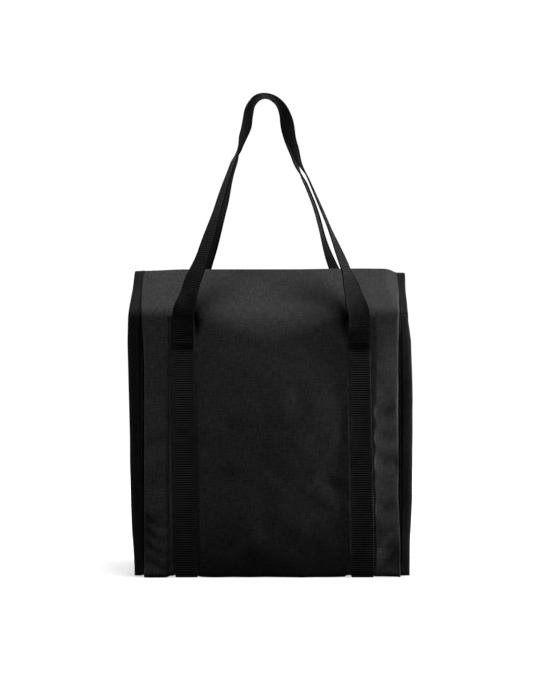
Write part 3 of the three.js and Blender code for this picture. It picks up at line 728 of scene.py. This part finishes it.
def add_wall(depth_name, side):
    """The outer cloth of one wall and its lid half, in one piece that bends at the crease, and its lining."""
    grid = wall_grid()
    x, z = grid[..., 0], grid[..., 2]
    normal = grid_normals(grid) * -1
    normal *= np.sign(np.sum(normal * np.array([0, 1, 0.5]), axis=2).mean())
    seed = 5 if side < 0 else 11
    to_ridge = np.linalg.norm(grid - grid[-RIDGE_ROWS : 1 - RIDGE_ROWS], axis=2)
    free = smooth((PANEL_EDGE + 0.6 * MM - np.abs(x)) / (3.5 * MM))
    relief = wall_relief(x, z, side, seed) * free * smooth(to_ridge / (8 * MM))
    fall = seam_fall(x) * fall_share(to_ridge) * smooth(z / (14 * MM))
    fall_way = normal.copy()
    fall_way[-RIDGE_ROWS:] = normal[-RIDGE_ROWS - 2 : -RIDGE_ROWS - 1]
    moved = grid + normal * relief[..., None] - fall_way * fall[..., None]
    step = np.linalg.norm(np.diff(grid, axis=0), axis=2)
    v = np.concatenate([np.zeros((1, grid.shape[1])), np.cumsum(step, axis=0)], axis=0)
    moved[..., 0] += edge_spread(x, z)
    moved[..., 1] *= side
    foams = [f"{depth_name}_foam", f"{depth_name}_flap_foam"]
    uv = np.stack([x, v], axis=2)
    cloth = sheet_from_grid(f"{depth_name}_cloth", moved, CLOTH, "nylon", side > 0, uv)
    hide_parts(f"{depth_name}_panel", f"{depth_name}_flap", *foams)
    blend_over_crease(cloth, side)
    lined = np.s_[FOOT_ROWS : -RIDGE_ROWS - 4, 3:-3]
    inner = (grid - normal * (PADDING - np.minimum(0, strap_dimples(x, z)))[..., None])[lined]
    inner[..., 1] += 0.8 * MM * soft_noise(inner[..., 0], inner[..., 2], 24 * MM, seed + 3)
    inner[..., 1] *= side
    lining = sheet_from_grid(f"{depth_name}_lining", inner, LINING, "foil", side < 0)
    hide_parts(f"{depth_name}_liner", f"{depth_name}_flap_liner")
    blend_over_crease(lining, side)


def blend_over_crease(piece, side):
    """Bakes the piece's transform into its mesh."""
    way = np.array([0, -side * math.cos(LID_ANGLE), 1 + math.sin(LID_ANGLE)])
    way = way / np.linalg.norm(way)
    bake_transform(piece)


# Straps and handles


def strap_seat(z):
    """Where the back of a sewn strap lies: pressed a little into the padding."""
    return float(wall_out(STRAP_CENTRE, z)) + 0.2 * MM - STRAP_SINK


def strap_line():
    """Points (out, z) of the strap's middle surface: down one wall, under the base and up the other."""
    top = SEWN_HEIGHT - 1.0 * MM
    wall = [(strap_seat(z) + WEB_THICKNESS / 2, z) for z in np.linspace(top, 8 * MM, 60)]
    radius = 8 * MM - WEB_THICKNESS / 2
    corner = wall[-1]
    turn = []
    for k in range(1, 9):
        angle = math.pi / 2 * k / 8
        turn.append((corner[0] - radius * (1 - math.cos(angle)), corner[1] - radius * math.sin(angle)))
    half = wall + turn
    return half + [(-out, z) for out, z in half[::-1]]


def strap_drift(z):
    """Both straps lean a little to the right towards the foot of the bag."""
    return STRAP_DRIFT * smooth((HANDLE_FOOT - z) / (250 * MM))


def add_strap(side_name, hand):
    """One sewn strap, from the top of the front, under the base, to the top of the back."""
    line = [(hand * STRAP_CENTRE, -out, z) for out, z in strap_line()]
    centres, _ = resample(line, RIB_PITCH / 4)
    heading = unit(np.gradient(centres, axis=0))
    across = repeated([1, 0, 0], len(centres))
    facing = unit(np.cross(across, heading))
    centres = centres + across * strap_drift(centres[:, 2])[:, None]
    strap = webbing_band(f"{side_name}_strap_webbing", centres, across, facing)
    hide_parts(f"{side_name}_strap")
    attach(strap, "bag")


# A handle's middle line seen from the front, (x, z) in mm, from its right foot over the peak to its left foot
HANDLE_ROUTE = [
    (100, 295.15), (98.8, 303), (95, 315), (89.5, 336), (80.9, 360), (62.7, 406), (43.2, 453),
    (32.5, 476), (25.5, 496), (18.5, 521), (11.5, 540), (3.5, 550), (-6.8, 554.5), (-16.9, 550),
    (-24, 538), (-28.5, 521), (-35.5, 497), (-43, 475), (-50.4, 453), (-64.6, 406), (-79.3, 360),
    (-88.8, 336), (-94.8, 315), (-98.8, 303), (-100, 295.15),
]
# How far the webbing has turned, (share of the loop, degrees): nearly edge on at the top
HANDLE_TWIST = [
    (0, 8), (0.015, 12), (0.06, 42), (0.1, 66), (0.2, 82), (0.3, 86), (0.36, 107), (0.42, 123), (0.5, 95),
    (0.57, 113), (0.62, 103), (0.67, 78), (0.76, 70), (0.86, 56), (0.94, 40), (0.985, 12), (1, 8),
]
LOOP_START = 295 * MM
STRAP_PLANE = 91.1 * MM
PEAK_HEIGHT = 554.5 * MM
PEAK_SETBACK = 15.5 * MM
HANDLE_BOW = 4 * MM
BACK_HANDLE_DRAW = 6.5 * MM
BACK_HANDLE_SPREAD = 3.0 * MM


def hump(z, low, high):
    """A smooth rise to 1 midway between two heights, and 0 outside them."""
    return np.sin(math.pi * np.clip((z - low) / (high - low), 0, 1)) ** 2


def handle_share(z):
    """How far up a handle a height lies, 0 at the straps and 1 at the peak."""
    return np.clip((z - LOOP_START) / (PEAK_HEIGHT - LOOP_START), 0, 1)


def lean_at(z):
    """Distance of a handle from the middle of the bag at a height."""
    share = handle_share(z)
    bow = HANDLE_BOW * np.sin(math.pi * np.sqrt(share))
    return STRAP_PLANE - (STRAP_PLANE - PEAK_SETBACK) * share**2 + bow


def catmull_rom(points, samples=24):
    """A centripetal curve through the points."""
    points = np.asarray(points, float)
    padded = np.concatenate([[2 * points[0] - points[1]], points, [2 * points[-1] - points[-2]]])
    curve = []
    for k in range(1, len(padded) - 2):
        p0, p1, p2, p3 = padded[k - 1 : k + 3]
        t1 = np.linalg.norm(p1 - p0) ** 0.5
        t2 = t1 + np.linalg.norm(p2 - p1) ** 0.5
        t3 = t2 + np.linalg.norm(p3 - p2) ** 0.5
        for t in np.linspace(t1, t2, samples, endpoint=False):
            a1 = (t1 - t) / t1 * p0 + t / t1 * p1
            a2 = (t2 - t) / (t2 - t1) * p1 + (t - t1) / (t2 - t1) * p2
            a3 = (t3 - t) / (t3 - t2) * p2 + (t - t2) / (t3 - t2) * p3
            b1 = (t2 - t) / t2 * a1 + t / t2 * a2
            b2 = (t3 - t) / (t3 - t1) * a2 + (t - t1) / (t3 - t1) * a3
            curve.append((t2 - t) / (t2 - t1) * b1 + (t - t1) / (t2 - t1) * b2)
    curve.append(points[-1])
    return np.array(curve)


def handle_line(side):
    """Points of one handle's middle line, and those of one foot, which lies sewn over its strap."""
    loop = catmull_rom([(x * MM, side * float(lean_at(z * MM)), z * MM) for x, z in HANDLE_ROUTE])
    if side > 0:
        over_ridge = BACK_HANDLE_DRAW * hump(loop[:, 2], LOOP_START, 440 * MM)
        under_peak = BACK_HANDLE_SPREAD * hump(loop[:, 2], PEAK_HEIGHT - 130 * MM, PEAK_HEIGHT - 25 * MM)
        loop[:, 0] -= np.where(loop[:, 0] > 0, over_ridge, under_peak)
    over_strap = WEB_THICKNESS + 0.05 * MM
    foot_out = lambda z: strap_seat(z) + WEB_THICKNESS / 2 + over_strap
    step = foot_out(SEWN_HEIGHT) - float(lean_at(SEWN_HEIGHT))
    rise = loop[:, 2] - SEWN_HEIGHT
    loop[:, 1] += side * step * (1 - smooth(rise / (60 * MM)))
    feet = [(STRAP_CENTRE, side * foot_out(z), z) for z in np.linspace(HANDLE_FOOT, SEWN_HEIGHT - 2 * MM, 12)]
    return np.concatenate([feet, loop, [(-x, y, z) for x, y, z in feet[::-1]]]), np.array(feet)


def twist_at(share):
    """Angle of the webbing about its own line, eased from one entry of the table to the next."""
    shares = np.array([s for s, _ in HANDLE_TWIST])
    angles = np.radians([a for _, a in HANDLE_TWIST])
    index = np.clip(np.searchsorted(shares, share, side="left"), 1, len(shares) - 1)
    part = smooth((share - shares[index - 1]) / (shares[index] - shares[index - 1]))
    return angles[index - 1] + (angles[index] - angles[index - 1]) * part


def add_handle(depth_name, side):
    """One handle: the loop rises from its two feet, turns edge on and meets the other handle at the peak."""
    line, foot = handle_line(side)
    centres, at = resample(line, RIB_PITCH / 4)
    foot_length = float(np.linalg.norm(np.diff(foot, axis=0), axis=1).sum())
    share = np.clip((at - foot_length) / (at[-1] - 2 * foot_length), 0, 1)
    heading = unit(running_mean(unit(np.gradient(centres, axis=0)), 17))
    depthward = unit(np.array([0.0, 1, 0]) - heading * heading[:, 1:2])
    sideward = unit(np.cross(depthward, heading))
    from_foot = np.minimum(at, at[-1] - at)
    angle = twist_at(share) * smooth((from_foot - 4 * MM) / (foot_length - 4 * MM))
    across = sideward * np.cos(angle)[:, None] - side * depthward * np.sin(angle)[:, None]
    facing = unit(np.cross(across, heading))
    # A turned band would cut into the cloth just above its foot, so it stands further out there
    lifted = WEB_WIDTH / 2 * np.sin(np.minimum(angle, math.pi / 2))
    lifted = lifted * (1 - smooth((from_foot - foot_length) / (25 * MM)))
    centres = centres + np.array([0.0, side, 0]) * (lifted * 0.45)[:, None]
    handle = webbing_band(f"{depth_name}_handle_webbing", centres, across, facing, slot="handle_webbing")
    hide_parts(f"{depth_name}_handle")
    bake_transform(handle)


def strap_rows(hand):
    """Rows of thread (x, out, z): along a strap's edges, in its crossed box, and in the cloth outside it."""
    rows = []
    middle = hand * STRAP_CENTRE
    for edge in (-1, 1):
        z = np.linspace(HANDLE_FOOT - 1 * MM, 14 * MM, 80)
        x = middle + edge * (WEB_WIDTH / 2 - 2.2 * MM) + strap_drift(z)
        rows.append((x, np.array([strap_seat(value) for value in z]) + WEB_THICKNESS + 0.05 * MM, z))
    half = WEB_WIDTH / 2 - 2.4 * MM
    low, high = HANDLE_FOOT + 2.5 * MM, HANDLE_FOOT + 27 * MM
    corners = [(-half, low), (half, low), (half, high), (-half, high), (-half, low)]
    strokes = list(zip(corners[:-1], corners[1:]))
    strokes += [((-half, low), (half, high)), ((-half, high), (half, low))]
    for (x0, z0), (x1, z1) in strokes:
        t = np.linspace(0, 1, 12)
        x, z = middle + x0 + (x1 - x0) * t, z0 + (z1 - z0) * t
        rows.append((x, np.array([strap_seat(value) for value in z]) + 2 * WEB_THICKNESS + 0.1 * MM, z))
    z = np.linspace(SEWN_HEIGHT - 1 * MM, 8 * MM, 90)
    out = np.array([float(wall_out(OUTBOARD_STITCH, value)) for value in z]) - 0.65 * MM
    rows.append((np.full_like(z, hand * OUTBOARD_STITCH), out, z))
    return rows


def add_strap_stitches():
    """The thread that sews each strap and handle foot to each wall."""
    for depth_name, side, side_name, hand in CORNERS:
        runs = []
        for x, out, z in strap_rows(hand):
            runs.append((np.stack([x, side * out, z], axis=1), repeated([0, side, 0], len(z))))
        thread = stitches(f"{depth_name}_{side_name}_strap_thread", runs, 0.24 * MM)
        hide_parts(f"{depth_name}_{side_name}_stitches")
        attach(thread, "bag")


# Bound side seams


def binding_reach(z, wobble, hand):
    """How far the bound seam stands out from the panel's edge: widest where the gusset bulges."""
    heights = [9, 43, 88, 145, 202, 270, 292, 315, 351]
    left = [10.4, 12.0, 13.8, 14.9, 16.0, 17.2, 17.2, 16.3, 13.4]
    right = [12.4, 12.6, 15.0, 15.2, 16.0, 13.8, 10.8, 10.6, 11.5]
    return np.interp(z / MM, heights, left if hand < 0 else right) * MM + 0.3 * MM * wobble


def seam_line(x):
    """Points (out, z) of the side seam at x, from the base up to the ridge."""
    rows = [row for row in wall_rows(x)[FOOT_ROWS : 1 - RIDGE_ROWS] if row[1] > 9 * MM]
    foot = rows[0][0]
    return np.array([(foot - 1.2 * MM, 1.6 * MM), (foot - 0.3 * MM, 5 * MM)] + rows)


def tape_start(reach):
    """Where the tape's inner edge lies across the seam: its width back from the seam's edge."""
    return np.maximum(SEAM_CLEARANCE, reach - TAPE_WIDTH)


def binding_ring(reach, tilt, filled):
    """Section of a bound seam (across, facing): flat cloth in the groove, then tape folded round the edge."""
    start = float(tape_start(reach))
    groove, thick = (-0.7 + 0.9 * filled) * MM, TAPE_HALF_THICKNESS
    edge = reach - 0.9 * MM
    front = [(-1.5 * MM, groove), (start - 0.4 * MM, groove), (start, thick)]
    for t in (0.3, 0.6, 1):
        front.append((start + (edge - start) * t, thick * (1 - 0.06 * math.sin(math.pi * t))))
    nose = [(reach, thick * 0.6), (reach + 0.35 * MM, 0.0), (reach, -thick * 0.6)]
    back = [(a, -b) for a, b in front[:1:-1]] + [(-1.5 * MM, -thick)]
    ring = np.array(front + nose + back)
    ring[:, 1] += np.maximum(0, ring[:, 0]) * tilt
    return ring


def add_bindings():
    """A folded, sewn tape over each upright seam, which runs on along the side edge of the lid half."""
    for depth_name, side, side_name, hand in CORNERS:
        line, at = resample(seam_line(hand * HALF_WIDTH), 3.0 * MM)
        line[0, 1] = 1.2 * MM
        heading = unit(running_mean(unit(np.gradient(line, axis=0)), 5))
        seed = 40 + (side + 1) + (hand + 1) * 2
        wobble = soft_noise(at, at * 0, 34 * MM, seed)
        sway = 0.5 * MM * soft_noise(at, at * 0, 47 * MM, seed + 1)
        reach = binding_reach(line[:, 1], wobble, hand)
        normal = np.stack([heading[:, 1], -heading[:, 0]], axis=1)
        sunk = line - normal * ((SEAM_DROP + 0.4 * MM + sway) * fall_share(at[-1] - at))[:, None]
        seam = np.full(len(line), hand * (HALF_WIDTH - 0.5 * MM))
        centres = np.stack([seam, side * sunk[:, 0], sunk[:, 1]], axis=1)
        across = repeated([hand, 0, 0], len(line))
        facing = np.stack([np.zeros(len(line)), side * normal[:, 0], normal[:, 1]], axis=1)
        tilt = -0.06 + 0.06 * soft_noise(at, at * 0, 60 * MM, seed + 2)
        filled = 1 - smooth((at[-1] - at) / (14 * MM))
        rings = np.array([binding_ring(*station) for station in zip(reach, tilt, filled)])
        name = f"{depth_name}_{side_name}_binding_tape"
        tape = sweep(name, centres, across, facing, rings, "binding", at)
        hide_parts(f"{depth_name}_{side_name}_binding", f"{depth_name}_flap_{side_name}_binding")
        blend_over_crease(tape, side)
        runs = []
        inner = tape_start(reach) + 1.6 * MM
        for face in (1, -1):
            lifted = face * 1.92 * MM + inner * tilt
            spots = centres + across * inner[:, None] + facing * lifted[:, None]
            runs.append((spots[1:-1], (facing * face)[1:-1]))
        name = f"{depth_name}_{side_name}_binding_thread"
        thread = stitches(name, runs, 0.22 * MM, pitch=3.0 * MM, length=2.2 * MM)
        blend_over_crease(thread, side)


# Side gussets with their folded tops


# Places (y, z) in mm and angles of the creases in each gusset
GUSSET_CREASES = ((-35, 60, 50), (30, 45, -48), (-20, 150, 70), (42, 190, -75), (10, 250, 20))


def gusset_bulge(y, z):
    """How far the gusset stands out of its flat plane, with a shallow pleat down its middle."""
    share = np.clip(z / FOLD_HINGE[2], 0, 1)
    level = np.cos(np.clip(y / HALF_DEPTH, -1, 1) * math.pi / 2)
    upright = np.sin(math.pi * share**0.9)
    pleat = bell(y, 7 * MM) * smooth((share - 0.25) / 0.6)
    return 6.0 * MM * level * upright - 2.4 * MM * pleat * (1 - share**6)


def gusset_points(inset, half_depth, low, columns, rows):
    """Grid (x, y, z) of the right gusset from the base up, then in along the folded top to its point.

    With an inset it is the lining's grid, which reaches out to the bowed wall's lining.
    """
    fold = math.radians(20)
    tip = 98 * MM
    top = FOLD_HINGE[2]
    grid = []
    for z in np.linspace(low, top - 3 * MM, rows):
        reach = half_depth + (float(belly(HALF_WIDTH, z)) if inset else 0)
        y = np.linspace(-reach, reach, columns)
        x = HALF_WIDTH + 1.3 * MM - inset + gusset_bulge(y, z)
        grid.append(np.stack([x, y, np.full(columns, z)], axis=1))
    start = HALF_WIDTH + 1.3 * MM - inset
    hinge = np.array([FOLD_HINGE[0], FOLD_HINGE[2] + 1.0 * MM - inset * 0.3])
    for t in (0.3, 0.6, 0.85):
        x = np.full(columns, start + (hinge[0] - start) * t * t)
        z = np.full(columns, top - 3 * MM + (hinge[1] - top + 3 * MM) * math.sin(t * math.pi / 2))
        grid.append(np.stack([x, np.linspace(-half_depth, half_depth, columns), z], axis=1))
    steps = 26
    for k in range(steps + 1):
        v = (tip - 4 * MM) * k / steps
        half = max(1.5 * MM, (half_depth - 1 * MM) * (1 - v / tip))
        y = np.linspace(-half, half, columns)
        sag = 2.2 * MM * np.cos(y / half * math.pi / 2) * math.sin(math.pi * min(1, v / tip))
        x = hinge[0] - v * math.cos(fold) + np.zeros(columns)
        z = hinge[1] + v * math.sin(fold) - sag
        grid.append(np.stack([x, y, z], axis=1))
    return np.array(grid)


def slack_at(y):
    """How freely a gusset's cloth moves: not at all at its two seams."""
    return smooth((HALF_DEPTH - 5 * MM - np.abs(y)) / (10 * MM))


def add_gussets():
    """The outer cloth of each gusset with its folded top, in one piece, and its lining."""
    for side_name, hand in HANDS:
        points = gusset_points(0, HALF_DEPTH - 4.5 * MM, BASE_LIFT + 0.5 * MM, 61, 80)
        seed = 60 if hand < 0 else 70
        y, z = points[..., 1], points[..., 2]
        waves = 0.5 * MM * soft_noise(y, z, 40 * MM, seed) + 0.25 * MM * soft_noise(y, z, 15 * MM, seed + 1)
        press_creases(waves, y, z, [(*place, 34, 6, -1.3) for place in GUSSET_CREASES])
        points[..., 0] += waves * (slack_at(y) * smooth((FOLD_HINGE[2] - z) / (12 * MM)))
        points[..., 0] *= hand
        cloth = sheet_from_grid(f"{side_name}_gusset_cloth", points, CLOTH, "gusset_cloth", hand < 0)
        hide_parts(f"{side_name}_gusset", f"{side_name}_tuck", f"{side_name}_foam")
        blend_over_fold(cloth)
        inner = gusset_points(PADDING - 0.6 * MM, HALF_DEPTH - 4.9 * MM, 11.5 * MM, 41, 50)
        y, z = inner[..., 1], inner[..., 2]
        inner[..., 0] += 0.7 * MM * soft_noise(y, z, 22 * MM, seed + 5) * slack_at(y)
        inner[..., 0] *= hand
        lining = sheet_from_grid(f"{side_name}_lining", inner, LINING, "foil", hand > 0)
        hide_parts(f"{side_name}_liner")
        blend_over_fold(lining)


def blend_over_fold(piece):
    """Bakes the piece's transform into its mesh."""
    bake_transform(piece)


def add_corner_webs():
    """The triangles of gusset cloth between each lid half's side edge and the folded gusset top."""
    angle = math.radians(8.5)
    line = -7.3 * MM
    up = np.array([math.cos(LID_ANGLE), math.sin(LID_ANGLE)])
    out = np.array([-math.sin(LID_ANGLE), math.cos(LID_ANGLE)])
    for depth_name, side, side_name, hand in CORNERS:
        grid = []
        rows, columns = 26, 26
        for r in range(rows):
            u = 2 * MM + (SLOPE_LENGTH - 6 * MM) * r / (rows - 1)
            reach = 89 * MM * (r / (rows - 1)) + 0.6 * MM
            d = np.linspace(0, reach, columns)
            w = line - d * math.sin(angle) + 1.0 * MM * np.sin(math.pi * d / (reach + 1e-6)) * (r / rows)
            x = hand * (145 * MM - d * math.cos(angle))
            place = np.array([-HALF_DEPTH, WALL_HEIGHT]) + u * up + w[:, None] * out
            grid.append(np.stack([x, -side * place[:, 0], place[:, 1]], axis=1))
        grid = np.array(grid)
        name = f"{depth_name}_{side_name}_corner_cloth"
        web = sheet_from_grid(name, grid, WEB_CLOTH, "gusset_cloth", side * hand < 0)
        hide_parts(f"{depth_name}_{side_name}_web")
        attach(web, f"{depth_name}_{side_name}_corner")


def level_grid(x, y, level, height, cell, seed):
    """Grid of a level sheet with low bumps."""
    grid_x, grid_y = np.meshgrid(x, y)
    bumps = height * np.abs(soft_noise(grid_x, grid_y, cell, seed))
    return np.stack([grid_x, grid_y, level + bumps], axis=2)


def add_base():
    """The cloth under the base and the lining above its board."""
    x = np.linspace(-HALF_WIDTH + 0.5 * MM, HALF_WIDTH - 0.5 * MM, 60)
    y = np.linspace(-HALF_DEPTH + 12 * MM, HALF_DEPTH - 12 * MM, 40)
    points = level_grid(x, y, BASE_LIFT, 0.25 * MM, 30 * MM, 81)
    cloth = sheet_from_grid("base_cloth", points, CLOTH, "nylon", True)
    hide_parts("base_panel")
    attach(cloth, "bag")
    low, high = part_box("base_liner")
    x, y = np.linspace(low.x, high.x, 50), np.linspace(low.y, high.y, 34)
    points = level_grid(x, y, high.z, 0.5 * MM, 26 * MM, 82)
    lining = sheet_from_grid("base_lining", points, LINING, "foil", False)
    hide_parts("base_liner")
    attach(lining, "bag")


def add_base_bindings():
    """A folded tape over the seam along each side edge of the base."""
    for side_name, hand in HANDS:
        low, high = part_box(f"{side_name}_base_binding")
        y = np.linspace(low.y + 2 * MM, high.y - 2 * MM, 60)
        inner = (HALF_WIDTH + 0.5 * MM) * hand
        centres = np.stack([np.full(len(y), inner), y, np.full(len(y), (low.z + high.z) / 2)], axis=1)
        across = repeated([hand, 0, 0], len(y))
        facing = repeated([0, 0, 1], len(y))
        reach = 7.2 * MM + 0.4 * MM * soft_noise(y, y * 0, 30 * MM, 83)
        rings = []
        for value in reach:
            front = [(0, 1.5 * MM), (value / 2, 1.4 * MM), (value - 1 * MM, 1.5 * MM)]
            nose = [(value, 0.9 * MM), (value + 0.3 * MM, 0), (value, -0.9 * MM)]
            rings.append(front + nose + [(a, -b) for a, b in front[::-1]])
        tape = sweep(f"{side_name}_base_binding_tape", centres, across, facing, np.array(rings), "binding")
        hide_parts(f"{side_name}_base_binding")
        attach(tape, "bag")


# Zip


def add_zip():
    """Tape on each side of the gap, and a coil on each tape whose turns mesh with the other's."""
    low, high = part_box("front_zip_tape")
    level, half_length = high.z, high.x
    for depth_name, side in WALLS:
        profile = [(-low.y, low.z + 0.6 * MM)] + [(out * MM, level) for out in (8.6, 6, 3.6, 0.9)]
        profile, _ = resample(profile, 1.6 * MM)
        x = np.linspace(-half_length, half_length, 90)
        grid = np.array([[(value, side * out, z) for value in x] for out, z in profile])
        grid[..., 2] += 0.15 * MM * soft_noise(grid[..., 0], grid[..., 1] * 3, 14 * MM, 91)
        tape = sheet_from_grid(f"{depth_name}_zip_tape_cloth", grid, 0.55 * MM, "zip_tape", side > 0)
        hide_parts(f"{depth_name}_zip_tape")
        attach(tape, f"{depth_name}_lid")
        coil_pitch = 1.9 * MM
        turns = int((2 * half_length - 4 * MM) / coil_pitch)
        steps = 10
        t = np.arange(turns * steps + 1) / steps
        shift = 0 if side < 0 else coil_pitch / 2
        x = -half_length + 1.5 * MM + shift + t * coil_pitch
        angle = 2 * math.pi * t
        y = side * (1.35 * MM) - side * 1.55 * MM * np.cos(angle)
        z = level + 1.25 * MM + 0.8 * MM * np.sin(angle)
        centres = np.stack([x, y, z], axis=1)
        heading = unit(np.gradient(centres, axis=0))
        across = unit(np.cross(heading, np.array([1.0, 0, 0])))
        facing = unit(np.cross(across, heading))
        ring = [(0.38 * MM * math.cos(a), 0.38 * MM * math.sin(a)) for a in np.arange(6) * math.pi / 3]
        coil = sweep(f"{depth_name}_zip_coil", centres, across, facing, ring, "zip_chain")
        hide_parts(f"{depth_name}_zip_chain")
        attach(coil, f"{depth_name}_lid")


def dress_solids():
    """The solids get the materials of their record slots."""
    slots = {part["node"]: part["material_slot"] for part in frame["record"]["subparts"]}
    for node in frame["nodes"].values():
        for holder in node.material_slots:
            holder.material = MATERIALS[slots[node.name]]


# Camera, lamps, floor


def add_camera():
    """Looks level at the front, from the distance that the photograph's perspective gives."""
    data = bpy.data.cameras.new("camera")
    data.sensor_width = SENSOR
    data.lens = SENSOR * CAMERA_DISTANCE / VIEW_HEIGHT
    camera = add_object("camera", data, (0, -(HALF_DEPTH + CAMERA_DISTANCE), CAMERA_HEIGHT))
    camera.rotation_euler = (math.pi / 2, 0, 0)
    bpy.context.scene.camera = camera


def add_lamp(name, place, target, size, power, spread=180):
    """A round soft lamp at a place, turned to its target. Its spread is in degrees."""
    data = bpy.data.lights.new(name, "AREA")
    data.shape = "DISK"
    data.size = size
    data.energy = power
    data.spread = math.radians(spread)
    lamp = add_object(name, data, place)
    lamp.rotation_euler = (Vector(target) - Vector(place)).to_track_quat("-Z", "Y").to_euler()


def paper():
    """Pale paper, white to the eye apart from the object's shadow, that sends little light back."""
    s = Shader("studio paper", (0.45, 0.45, 0.45), 0.9, specular=0.0)
    dull = s.node("ShaderNodeBsdfDiffuse")
    dull.inputs["Color"].default_value = (0.02, 0.02, 0.02, 1)
    white = s.node("ShaderNodeEmission")
    away = s.node("ShaderNodeVectorMath", operation="LENGTH")
    s.link(s.place(), away.inputs[0])
    # It glows less near the object, where the lamps alone lift it to white, so that the shadow stays
    s.link(s.map_range(away.outputs["Value"], 0.6, 1.0, 0.5, 1.8), white.inputs["Strength"])
    lit = s.node("ShaderNodeAddShader")
    s.link(s.bsdf.outputs[0], lit.inputs[0])
    s.link(white.outputs[0], lit.inputs[1])
    mix = s.node("ShaderNodeMixShader")
    for index, source in enumerate((s.seen_by_eye(), dull.outputs[0], lit.outputs[0])):
        s.link(source, mix.inputs[index])
    s.link(mix.outputs[0], s.tree.nodes["Material Output"].inputs[0])
    return s.material


def add_studio():
    """A pale floor that sweeps up into a backdrop, in metres."""
    depth, rise, radius, half_width = 6.0, 5.0, 1.5, 8.0
    profile = [(-9.0, 0.0), (depth - radius, 0.0)]
    for k in range(1, 13):
        angle = math.pi / 2 * k / 12
        profile.append((depth - radius + radius * math.sin(angle), radius - radius * math.cos(angle)))
    profile.append((depth, rise))
    verts = [(x, y, z) for y, z in profile for x in (-half_width, half_width)]
    faces = [(2 * k, 2 * k + 1, 2 * k + 3, 2 * k + 2) for k in range(len(profile) - 1)]
    mesh = bpy.data.meshes.new("studio")
    mesh.from_pydata(verts, [], faces)
    mesh.polygons.foreach_set("use_smooth", np.ones(len(mesh.polygons), bool))
    mesh.materials.append(paper())
    add_object("studio", mesh)


def add_world():
    """Faint light from all round, white to the camera."""
    world = bpy.data.worlds.new("world")
    bpy.context.scene.world = world
    s = Nodes(world)
    background = s.tree.nodes["Background"]
    background.inputs["Color"].default_value = (1, 1, 1, 1)
    s.link(s.map_range(s.seen_by_eye(), 0.012, 1.0), background.inputs["Strength"])


# Everything is made in this order


dress_solids()
add_camera()
for name, side in WALLS:
    add_wall(name, side)
add_gussets()
add_corner_webs()
add_base()
add_base_bindings()
add_bindings()
for name, hand in HANDS:
    add_strap(name, hand)
for name, side in WALLS:
    add_handle(name, side)
add_strap_stitches()
add_zip()
add_lamp("key", (0.12, -0.42, 2.3), (0, -0.1, 0.2), size=0.95, power=79)
add_lamp("right", (2.1, -0.08, 0.19), (0.1, -0.1, 0.19), size=0.2, power=2.1, spread=18)
add_lamp("back", (-0.15, 2.1, 0.85), (0, 0.1, 0.2), size=0.8, power=24)
add_lamp("left", (-2.1, -0.095, 0.14), (-0.1, -0.1, 0.14), size=0.2, power=0.3, spread=15)
add_studio()
add_world()
bpy.context.scene.view_settings.view_transform = "Standard"
